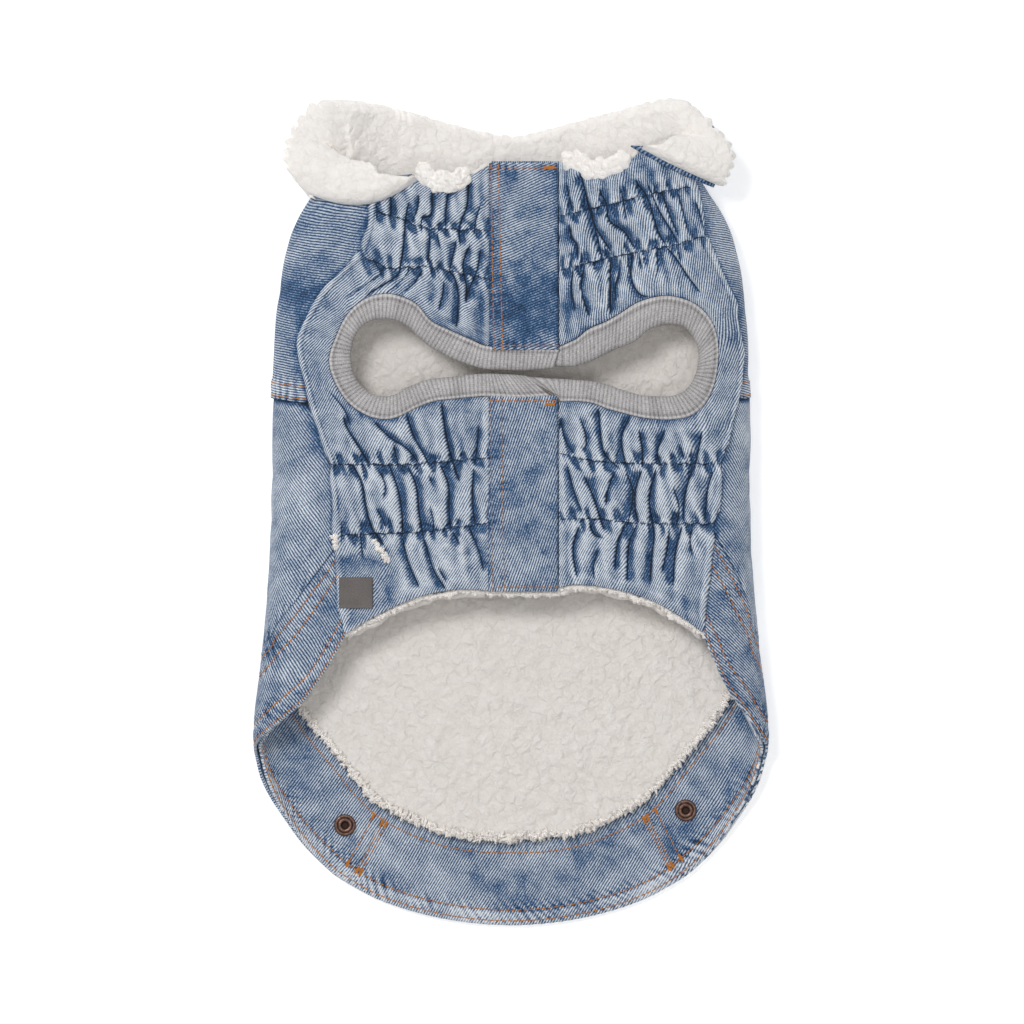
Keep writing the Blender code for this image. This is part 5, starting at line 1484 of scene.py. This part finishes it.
def make_collar_top(seam, along):
    v = steps(COLLAR_ROWS)
    rows = COLLAR_START + (COLLAR_STOP - COLLAR_START) * v
    base = collar_face(seam, rows, 0.0)
    normal = collar_face(seam, rows, 1.0) - base
    long = np.linalg.norm(base[:, -1] - base[:, 0], axis=1)[:, None]
    inwards, to_edge = v * long, (1 - v) * long
    ends = np.minimum(along, along[-1] - along) + 0 * to_edge
    crown = rounded(unit(np.minimum(to_edge, np.minimum(ends, inwards + 1.5)) / 5.2))
    place = base.transpose(2, 0, 1) + 300
    big, mid, small = (curls(*place, size, seed) - 0.5 for size, seed in ((7.5, 151), (4.0, 152), (2.2, 153)))
    lumps = 0.8 * big + 0.35 * mid + 0.15 * small
    rolls = 0.7 * drift(place[0], place[1], 15.0, 154)
    lift = DENIM + 0.5 + (COLLAR_PLY_GAP + COLLAR_PILE - 0.7) * crown
    lift = lift + (lumps + rolls) * (0.25 + 0.75 * crown)
    column = np.arange(COLLAR_COLUMNS)[:, None]
    bunch = sum(strength * bell((column - at) / wide) for at, wide, strength in COLLAR_BUNCHES)
    lift = np.maximum(lift + 5.0 * bunch * crown, DENIM + 0.2)
    # The edge bulges out in soft round tufts, larger at the wings.
    wing = unit((np.abs(base[:, -1:, 0]) - 76.0) / 12.0)
    lobes = np.abs(np.sin(math.pi * (along / 5.0 + 1.2 * drift_along(along, 11.0, 155)))) ** 0.8 - 0.6
    lobes = lobes * (0.85 + 0.3 * drift_along(along, 7.0, 157)) * unit(along / 14.0)
    rag = lobes * (0.6 + 2.2 * wing) + 0.4 * drift_along(along, 2.6, 156) - 1.9 - 0.2 * wing
    lift = lift + 0.8 * lobes * np.exp(-to_edge / 3.0)
    out = unit_length(base[:, -1:] - base[:, -8:-7])
    points = base + normal * lift[..., None] + out * (rag * unit(1 - to_edge / 11.0))[..., None]
    # The left wing's pile hangs over its cut end, and fills the hollow beside the fold.
    past = unit_length(points[:1] - points[6:7])
    points = points + past * (5.0 * (0.3 + 0.7 * v) * unit(1 - along / 12.0))[..., None]
    hollow = np.clip(blurred(points[..., 2], 26, 18) - points[..., 2], 0, None)
    points[..., 2] += hollow * unit(np.minimum(np.minimum(to_edge, ends), inwards) / 8.0)
    points[..., 2] = np.maximum(points[..., 2], 0.6)
    # Painted light and shade: paler on the curls and darker between them.
    fade = 0.78 + 0.16 * big + 0.12 * mid + 0.08 * small
    uv = place[:2].transpose(1, 2, 0)
    turned = [points[:, -1:] - out * inset - normal[:, -1:] * drop for inset, drop in COLLAR_TURN]

    def longer(grid):
        return np.concatenate([grid] + [grid[:, -1:]] * len(turned), axis=1)

    points = np.concatenate([points, *turned], axis=1)
    cloth("collar_top_pile", points, longer(base), longer(uv), longer(fade), "collar_pile")
    return long


def make_collar_under(seam, along, long):
    """The denim below the pile. It starts where the left wing's cut end shows."""
    v = steps(26) * 0.925
    at = seam[8::2]
    points = collar_face(at, v, 0.0)
    below = collar_face(at, v, 1.0)
    x, w = along[8::2] + 0 * v, v * long[8::2]
    relief = 0.3 * drift(x, w, 12.0, 161)
    fade = 0.50 + 0.14 * drift(x, w, 10.0, 162) + 0.2 * bell((1 - v) / 0.03)
    points = points + (points - below) * relief[..., None]
    points[-1] += unit_length(points[-1] - points[-3]) * 1.7
    points[..., 2] = np.maximum(points[..., 2], 0.1)
    fade[-3:] -= 0.12
    cloth("collar_under_cloth", points, below, twill_uv(x, w, TWILL["collar"]), fade, "denim", DENIM)


# ---- label and buttons


def make_label():
    x, y = np.meshgrid(np.linspace(*LABEL_X, 34), np.linspace(*LABEL_Y, 32), indexing="ij")
    edge = np.minimum(np.minimum(x - LABEL_X[0], LABEL_X[1] - x), np.minimum(y - LABEL_Y[0], LABEL_Y[1] - y))
    lift = LABEL_GAP + LABEL_THICKNESS - 0.45 * unit(1 - edge / 0.9) ** 2 + 0.22 * drift(x, y, 6.0, 171)
    fade = 0.35 * bell((y - LABEL_Y[0]) / 0.8) + 0.08 * drift(x, y, 4.0, 172)
    points, below = (on_top(x, y, more - lift) for more in (0.0, 1.0))
    cloth("label_tab", points, below, stacked(x, y), fade, "tab", LABEL_THICKNESS)


# Half profile of a tack button from its middle down its outer side. Columns: radius, height, brightness.
BUTTON_PROFILE = (
    (0, 0.05, -1.5), (1.3, 0.05, -1.5), (1.48, 0.5, -1.2), (1.55, 0.95, -0.2), (1.7, 1.25, 0.3),
    (1.95, 1.5, 0.5), (2.35, 1.62, 0.5), (2.8, 1.58, 0.3), (3.1, 1.42, 0), (3.3, 1.22, -0.4),
    (3.5, 1.12, -0.4), (3.75, 1.18, 0.1), (4.1, 1.22, 0.5), (4.45, 1.08, 0.4), (4.7, 0.78, 0.1),
    (4.8, 0.4, -0.1), (4.7, 0.02, -0.3),
)


def make_button(name, place):
    turn = np.linspace(0, TURN, 64, endpoint=False)
    profile = through(BUTTON_PROFILE, np.linspace(0, len(BUTTON_PROFILE) - 1, 3 * len(BUTTON_PROFILE)))
    radius, height, bright = profile.T[:, :, None]
    radius = np.maximum(radius, 0.02)
    height = height + 0.03 * np.sin(turn * 5) * (radius > 1.5)
    x, y = radius * np.cos(turn), radius * np.sin(turn)
    points = stacked(place[0] + x, place[1] + y, FACING_DEPTH + DENIM + PLY_GAP + height)
    below = points - (0.0, 0.0, 1.0)
    cloth(name + "_turned", points, below, stacked(x, y), 0.35 + 0.45 * bright, "copper", closed=True)


# ---- sewing and tufts


TUFT_FADE = 0.85


def line_tree(name, floats, bodies):
    """Geometry nodes that lay a small body at an even pitch along a line of edges and turn each a little.
    `bodies` adds the body and its scale, and what is done to the points before and to the mesh after."""
    tree = bpy.data.node_groups.new(name, "GeometryNodeTree")
    tree.is_modifier = True

    def node(kind, settings=None, inputs=None):
        return add_node(tree, kind, settings, inputs).outputs[0]

    def socket(name, kind, in_out="INPUT"):
        tree.interface.new_socket(name, in_out=in_out, socket_type="NodeSocket" + kind)

    socket("Line", "Geometry")
    for given_name in floats:
        socket(given_name, "Int" if given_name == "Rounding" else "Float")
    socket("Look", "Material")
    socket("Made", "Geometry", "OUTPUT")
    given = add_node(tree, "NodeGroupInput").outputs
    curve = node("GeometryNodeMeshToCurve", {}, {"Mesh": given["Line"]})
    even = node("GeometryNodeResampleCurve", {"mode": "LENGTH"}, {"Curve": curve, "Length": given["Pitch"]})
    tangent = node("GeometryNodeInputTangent")
    along = node("FunctionNodeAlignRotationToVector", {"axis": "X"}, {"Vector": tangent})
    before, body, size, turn, after = bodies(tree, node, given)
    wanted = {"Points": before(even), "Instance": body, "Rotation": along, "Scale": size}
    placed = node("GeometryNodeInstanceOnPoints", {}, wanted)
    turned = node("GeometryNodeRotateInstances", {}, {"Instances": placed, "Rotation": turn})
    real = after(node("GeometryNodeRealizeInstances", {}, {"Geometry": turned}))
    smooth_shade = node("GeometryNodeSetShadeSmooth", {}, {"Geometry": real})
    looked = node("GeometryNodeSetMaterial", {}, {"Geometry": smooth_shade, "Material": given["Look"]})
    add_node(tree, "NodeGroupOutput", {}, {0: looked})
    return tree


def random_vector(tree, low, high, seed):
    made = add_node(tree, "FunctionNodeRandomValue", {"data_type": "FLOAT_VECTOR"}, {"Seed": seed})
    made.inputs["Min"].default_value, made.inputs["Max"].default_value = low, high
    return made.outputs[0]


def stitch_parts(tree, node, given):
    """Rounded stitches."""
    sides = (given["Stitch Length"], given["Thread"])
    half, thick = (node("ShaderNodeMath", {"operation": "MULTIPLY"}, {0: side, 1: 0.5}) for side in sides)
    size = node("ShaderNodeCombineXYZ", {}, {0: half, 1: thick, 2: thick})
    bead = node("GeometryNodeMeshUVSphere", {}, {"Segments": 6, "Rings": 5, "Radius": 1.0})
    turn = random_vector(tree, (-0.05, -0.05, -0.07), (0.05, 0.05, 0.07), 7)
    return (lambda points: points), bead, size, turn, (lambda mesh: mesh)


def tuft_parts(tree, node, given):
    """Small woolly lumps, strewn beside the line, curled, and with the pile's cloth coordinates and fade."""

    def vector_math(operation, inputs):
        return node("ShaderNodeVectorMath", {"operation": operation}, inputs)

    def strewn(points):
        stray = random_vector(tree, (-1.0, -1.0, -0.4), (1.0, 1.0, 0.6), 11)
        stray = vector_math("SCALE", {0: stray, 3: given["Stray"]})
        return node("GeometryNodeSetPosition", {}, {"Geometry": points, "Offset": stray})

    def woolly(mesh):
        amount = node("ShaderNodeTexNoise", {}, {"Scale": 500.0, "Detail": 1.0})
        amount = node("ShaderNodeMath", {"operation": "SUBTRACT"}, {0: amount, 1: 0.5})
        for factor in ("Tuft Width", "Curl"):
            amount = node("ShaderNodeMath", {"operation": "MULTIPLY"}, {0: amount, 1: given[factor]})
        push = vector_math("SCALE", {0: node("GeometryNodeInputNormal"), 3: amount})
        mesh = node("GeometryNodeSetPosition", {}, {"Geometry": mesh, "Offset": push})
        in_mm = vector_math("SCALE", {0: node("GeometryNodeInputPosition"), 3: 1 / MM})
        stored = (("weave", "FLOAT2", "CORNER", in_mm), ("fade", "FLOAT", "POINT", TUFT_FADE))
        for name, kind, domain, value in stored:
            inputs = {"Geometry": mesh, "Name": name, "Value": value}
            mesh = node("GeometryNodeStoreNamedAttribute", {"data_type": kind, "domain": domain}, inputs)
        return mesh

    lump = node("GeometryNodeMeshIcoSphere", {}, {"Radius": 0.5, "Subdivisions": given["Rounding"]})
    sides = {axis: given["Tuft " + side] for axis, side in enumerate(("Width", "Length", "Height"))}
    varied = random_vector(tree, (0.7, 0.6, 0.6), (1.3, 1.3, 1.0), 12)
    size = vector_math("MULTIPLY", {0: node("ShaderNodeCombineXYZ", {}, sides), 1: varied})
    turn = random_vector(tree, (-0.15, -0.2, -0.6), (0.15, 0.2, 0.6), 13)
    return strewn, lump, size, turn, woolly


def from_lines(name, lines, tree, values, fabric):
    """One plain mesh that a Geometry Nodes tree makes from several lines, each a row of points in mm."""
    look, slot = FABRICS[fabric]
    mesh = bpy.data.meshes.new(name)
    points, edges = [], []
    for line in lines:
        start = len(points)
        points += [tuple(p) for p in np.asarray(line) * MM]
        edges += [(i, i + 1) for i in range(start, len(points) - 1)]
    mesh.from_pydata(points, edges, [])
    made = add_piece(name, mesh, slot)
    nodes = made.modifiers.new(name, "NODES")
    nodes.node_group = tree
    for item in tree.interface.items_tree:
        if item.name in values or item.name == "Look":
            nodes[item.identifier] = values.get(item.name, look)
    graph = bpy.context.evaluated_depsgraph_get()
    result = bpy.data.meshes.new_from_object(made.evaluated_get(graph))
    made.modifiers.remove(nodes)
    made.data = result
    result.name = name


def lay_on(points, line, lift):
    """A line of x, y laid on a cloth's grid of points, seen from above, and lifted a little."""
    line = np.asarray(line, float)
    length = np.hypot(*np.diff(line, axis=0).T).sum()
    line = through(line, np.linspace(0, len(line) - 1, max(int(length / 0.7), 8)))
    flat = points.reshape(-1, 3)
    laid = []
    for x, y in line:
        off = (flat[:, 0] - x) ** 2 + (flat[:, 1] - y) ** 2
        near = np.argpartition(off, 4)[:4]
        weight = 1 / (off[near] + 0.01)
        laid.append((x, y, (flat[near, 2] * weight).sum() / weight.sum() + lift))
    return np.asarray(laid)


# Bar tacks of the plackets and at the end of the right hem. Columns: x, y.
PLACKET_TACKS = {
    "placket_chest": ((14.6, 150.4), (18.9, 150.6)),
    "placket_belly": ((15.0, 46.9), (19.2, 46.9)),
}
SEAM_END_TACK = ((101.6, -127.6), (103.8, -122.4))
# Stitch lines of the plackets. Columns: distances from the left edge; end of the upper cross line,
# its distance from the upper end.
PLACKET_LINES = {"placket_chest": (0.9, 4.2, 0.93, 2.3), "placket_belly": (0.9, 5.5, 0.92, 2.4)}
PLACKET_WIDTH = 30.3
# Threads. Columns: fabric, pitch, stitch length, thickness, lift over the cloth.
THREADS = {
    "topstitching": ("orange", 2.7, 2.6, 0.56, 0.12),
    "placket_topstitching": ("faded", 2.2, 1.75, 0.5, 0.12),
    "bar_tacks": ("orange", 0.62, 1.25, 0.5, 0.25),
    "shirring_thread": ("navy", 1.9, 1.75, 0.42, 0.05),
}


def bar_tack(line):
    """A tight zigzag over a short line of points."""
    line = np.asarray(line, float)
    run = run_along(line)
    turns = max(int(run[-1] / 0.30), 4)
    at = np.linspace(0, run[-1], turns)
    found = stacked(*(np.interp(at, run, column) for column in line.T))
    aim = line[-1] - line[0]
    aside = np.array([-aim[1], aim[0], 0.0]) / np.hypot(aim[0], aim[1])
    return found + aside * (0.55 * np.where(np.arange(turns) % 2, 1, -1))[:, None]


def facing_seams(name, grid, c):
    """Stitch lines of one length of the facing, and those beside its joins to the others."""
    wide = np.linalg.norm(grid[:, -1] - grid[:, 0], axis=1)
    wide = np.interp(c, steps(len(wide)), wide)
    rows = [on_grid(grid, c, 1 - off / wide) for off, *_ in FACING_STITCHES] + [on_grid(grid, c, 5.6 / wide)]
    long = np.linalg.norm(np.diff(grid[:, BAND_ROWS // 2], axis=0), axis=1).sum()
    down = steps(60)
    joins = []
    for edge_at, inwards in ((0.0, 1), (1.0, -1)):
        if (name, edge_at) not in (("left", 0.0), ("right", 1.0)):
            for off in (0.9, 2.5) if name == "centre" else (4.6,):
                joins.append(on_grid(grid, edge_at + inwards * off / long + 0 * down, 0.15 + 0.70 * down))
    return rows, joins


def placket_seams(name, grid):
    """Stitch lines of a placket: two down its left edge, one across each end."""
    left, right, top_end, from_top = PLACKET_LINES[name]
    long = abs(grid[0, 0, 1] - grid[0, -1, 1])
    down, span = steps(120), steps(80)
    starts = ((left, 1.1), (right, 1.6))
    edge = [on_grid(grid, (at + more * down) / PLACKET_WIDTH, 0.02 + 0.97 * down) for at, more in starts]
    top = on_grid(grid, 0.03 + top_end * span, from_top / long + 0 * span)
    return edge, [top, on_grid(grid, 0.17 + 0.80 * span, 1 - 1.9 / long + 0 * span)]


def sew_all():
    orange, faint, tacks = [], [], []
    c = steps(500)
    for off, *_ in YOKE_STITCHES:
        orange.append(on_grid(YOKE, c, 1 - off / np.interp(c, steps(len(YOKE_RUN)), YOKE_RUN)))
    for left, right, *_ in HEM_STITCHES:
        orange.append(on_grid(BAND, c, left + (right - left) * c))
    for name in FACINGS:
        rows, joins = facing_seams(name, FACING[name], c)
        orange += rows + joins
        tacks += [bar_tack(line[part]) for line in joins for part in (slice(6), slice(-7, None))]
    for name, grid in PLACKETS.items():
        edge, ends = placket_seams(name, grid)
        (orange if name == "placket_chest" else faint).extend(edge)
        orange += ends
    tacks += [bar_tack(lay_on(PLACKETS[name], line, 0.0)) for name, line in PLACKET_TACKS.items()]
    tacks.append(bar_tack(lay_on(BAND, SEAM_END_TACK, 0.0)))
    navy = [lay_on(FRONTS["left" if row[0][0] < 0 else "right"], row, 0.0) for row in SHIRRING]

    tree = line_tree("stitches along a line", ("Pitch", "Stitch Length", "Thread"), stitch_parts)
    for name, lines in zip(THREADS, (orange, faint, tacks, navy)):
        fabric, pitch, length, thread, lift = THREADS[name]
        values = {"Pitch": pitch * MM, "Stitch Length": length * MM, "Thread": thread * MM}
        from_lines(name, [line + (0.0, 0.0, lift) for line in lines], tree, values, fabric)


# Pile that shows past the cloth. Columns: x, y.
NECK_LEFT_TUFTS = ((-39.5, 146.8), (-34.5, 143.8), (-29.5, 142.6), (-24.5, 142.9), (-20.6, 145.4))
NECK_RIGHT_TUFTS = ((24.5, 152.6), (30.0, 151.2), (34.6, 148.2), (39.2, 147.8), (44.4, 149.2), (50.0, 152.2))
HEM_LEFT_TUFTS = (
    (-72.6, -54.4), (-61.2, -48), (-49.3, -42.6), (-40.9, -38.6), (-29, -37.2), (-22.4, -35.2), (-9, -36),
)
HEM_MIDDLE_TUFTS = ((-9.0, -36.0), (20.8, -36.6))
HEM_RIGHT_TUFTS = (
    (21.1, -35.3), (25.5, -33.6), (39.2, -34.4), (49.7, -36.6), (55.9, -39.2), (66.9, -42), (70.8, -46.2),
    (79.6, -51), (84.5, -54.6),
)
# Places where the denim has frayed to its white yarn.
FRAYED = (((-60.2, -13.6), (-57.0, -16.6), (-54.4, -21.0)), ((-77.2, -9.6), (-76.6, -15.6)))
# Tufts. Columns: fabric, pitch, width, length, height, stray, curl, rounding.
TUFTS = {
    "neck_edge_tufts": ("collar_pile", 1.7, 6.0, 6.4, 3.6, 0.6, 0.06, 2),
    "hem_edge_tufts": ("pile", 0.9, 2.4, 4.6, 2.4, 0.6, 0.25, 1),
    "lining_edge_tufts": ("pile", 0.75, 1.4, 4.4, 1.4, 0.9, 0.45, 1),
    "frayed_spots": ("frayed", 0.5, 2.0, 3.2, 2.0, 0.8, 0.2, 1),
}


def tuft_all():
    left, right = FRONTS["left"], FRONTS["right"]
    neck = [lay_on(front, line, 0.4) for front, line in ((left, NECK_LEFT_TUFTS), (right, NECK_RIGHT_TUFTS))]
    neck = [row + (0.0, up, 0.25 * up) for row in neck for up in (0.0, 1.6, 3.2)]
    hem = [lay_on(left, HEM_LEFT_TUFTS, -1.9), lay_on(right, HEM_RIGHT_TUFTS, -1.9)]
    hem.append(lay_on(PLACKETS["placket_belly"], HEM_MIDDLE_TUFTS, -3.2))
    hem = [row + (0.0, 0.7, 0.0) for row in hem]
    lining = [LINING_EDGE, LINING_EDGE + (0.0, 1.2, 0.7)]
    frayed = [lay_on(left, line, 0.35) for line in FRAYED]
    lengths = ("Pitch", "Tuft Width", "Tuft Length", "Tuft Height", "Stray")
    tree = line_tree("tufts along a line", (*lengths, "Curl", "Rounding"), tuft_parts)
    for name, lines in zip(TUFTS, (neck, hem, lining, frayed)):
        fabric, *row, curl, rounding = TUFTS[name]
        values = {key: value * MM for key, value in zip(lengths, row)}
        from_lines(name, lines, tree, {**values, "Curl": curl, "Rounding": rounding}, fabric)


# ---- light, floor and camera

FLOOR_HALF = 6.0
# Lamps. Columns: place, size, power.
LAMPS = {"key": ((-0.7, 0.8, 1.9), 0.7, 20.5), "fill": ((0.25, -0.2, 2.2), 1.0, 9.0)}
CAMERA_LENS, CAMERA_SENSOR = 400.0, 36.0
PHOTO_WIDTH = 0.45056
PHOTO_MIDDLE = (0.00044, -0.00022)


def placed(name, data, location):
    made = bpy.data.objects.new(name, data)
    made.location = location
    bpy.context.scene.collection.objects.link(made)
    return made


def make_stage():
    floor = bpy.data.meshes.new("floor")
    corners = [(FLOOR_HALF * x, FLOOR_HALF * y, 0) for x, y in ((-1, -1), (1, -1), (1, 1), (-1, 1))]
    floor.from_pydata(corners, [], [(0, 1, 2, 3)])
    floor.materials.append(floor_look("pale floor"))
    placed("floor", floor, (0.0, 0.0, -0.0001))

    world = bpy.data.worlds.new("studio")
    world.use_nodes = True
    background = world.node_tree.nodes["Background"].inputs
    background["Color"].default_value = (1.0, 0.995, 0.985, 1.0)
    background["Strength"].default_value = 0.35
    bpy.context.scene.world = world

    for name, (place, size, power) in LAMPS.items():
        lamp = bpy.data.lights.new(name, "AREA")
        lamp.shape = "DISK"
        lamp.size = size
        lamp.energy = power
        light = placed(name, lamp, place)
        light.rotation_mode = "QUATERNION"
        light.rotation_quaternion = (-mathutils.Vector(place)).to_track_quat("-Z", "Y")


def make_camera():
    camera = bpy.data.cameras.new("camera")
    camera.lens, camera.sensor_width = CAMERA_LENS, CAMERA_SENSOR
    camera.clip_start, camera.clip_end = 0.1, 50.0
    location = (*PHOTO_MIDDLE, PHOTO_WIDTH * CAMERA_LENS / CAMERA_SENSOR)
    bpy.context.scene.camera = placed("camera", camera, location)


make_camera()
make_stage()
bpy.context.scene.view_settings.view_transform = "Standard"

# Look and slot of each kind of cloth or thread.
FABRICS = {
    "denim": (denim_look("washed denim twill", 0.0, 1.0), "washed_denim"),
    "facing": (denim_look("washed denim twill, facing", 0.02, 0.7), "denim_facing"),
    "pile": (pile_look("white curly pile", (0.90, 0.86, 0.825), 0.3, 0.3), "white_pile"),
    # The same white pile as the lining's, painted brighter for the open collar against the lining in shade,
    # with more sheen and more light spread inside the wool.
    "collar_pile": (pile_look("white curly pile, collar", (0.99, 0.955, 0.925), 0.6, 0.8), "white_pile"),
    "knit": (knit_look("heather grey rib knit"), "rib_knit"),
    "copper": (copper_look("aged copper plating"), "aged_copper"),
    "tab": (tab_look("grey woven tab cloth"), "woven_tab"),
    "orange": (thread_look("orange sewing thread", (0.70, 0.240, 0.014)), "washed_denim"),
    "faded": (thread_look("faded orange sewing thread", (0.60, 0.29, 0.10)), "washed_denim"),
    "navy": (thread_look("navy sewing thread", (0.02, 0.035, 0.09)), "washed_denim"),
}
FABRICS["frayed"] = (FABRICS["pile"][0], "washed_denim")

(YOKE, YOKE_RUN), BAND = back_panels()
FACING = hem_facings()
LINING_EDGE = back_lining()
LEFT = Front(LEFT_FRONT, -1, LEFT_CORNERS)
RIGHT = Front(RIGHT_FRONT, 1, RIGHT_CORNERS)
FRONTS = {}
for side_name, *side in (
    ("left", LEFT, CHEST_LEFT_VALLEYS + BELLY_LEFT_VALLEYS, LEFT_PATCHES, 20, (38.0, 58.0)),
    ("right", RIGHT, CHEST_RIGHT_VALLEYS + BELLY_RIGHT_VALLEYS, RIGHT_PATCHES, 18, (84.0, 60.0)),
):
    FRONTS[side_name] = make_front(side_name, *side)
    make_front_lining(side_name, side[0])
CHEST_LINES, BELLY_LINES = ((0.9, 3.3, 4), (4.2, 3.7, 5)), ((0.9, 3.6, 4), (5.5, 3.4, 5))
PLACKETS = {
    "placket_chest": make_placket("placket_chest", PLACKET_CHEST, CHEST_PATCHES, CHEST_LINES, 110),
    "placket_belly": make_placket("placket_belly", PLACKET_BELLY, BELLY_PATCHES, BELLY_LINES, 120),
}
make_knit_binding("right", RIGHT, 140)
make_knit_binding("left", LEFT, 130)
COLLAR_SEAM, COLLAR_RUN = collar_stations()
COLLAR_LONG = make_collar_top(COLLAR_SEAM, COLLAR_RUN)
make_collar_under(COLLAR_SEAM, COLLAR_RUN, COLLAR_LONG)
make_label()
for button_name, button_place in BUTTONS.items():
    make_button(button_name, button_place)
sew_all()
tuft_all()
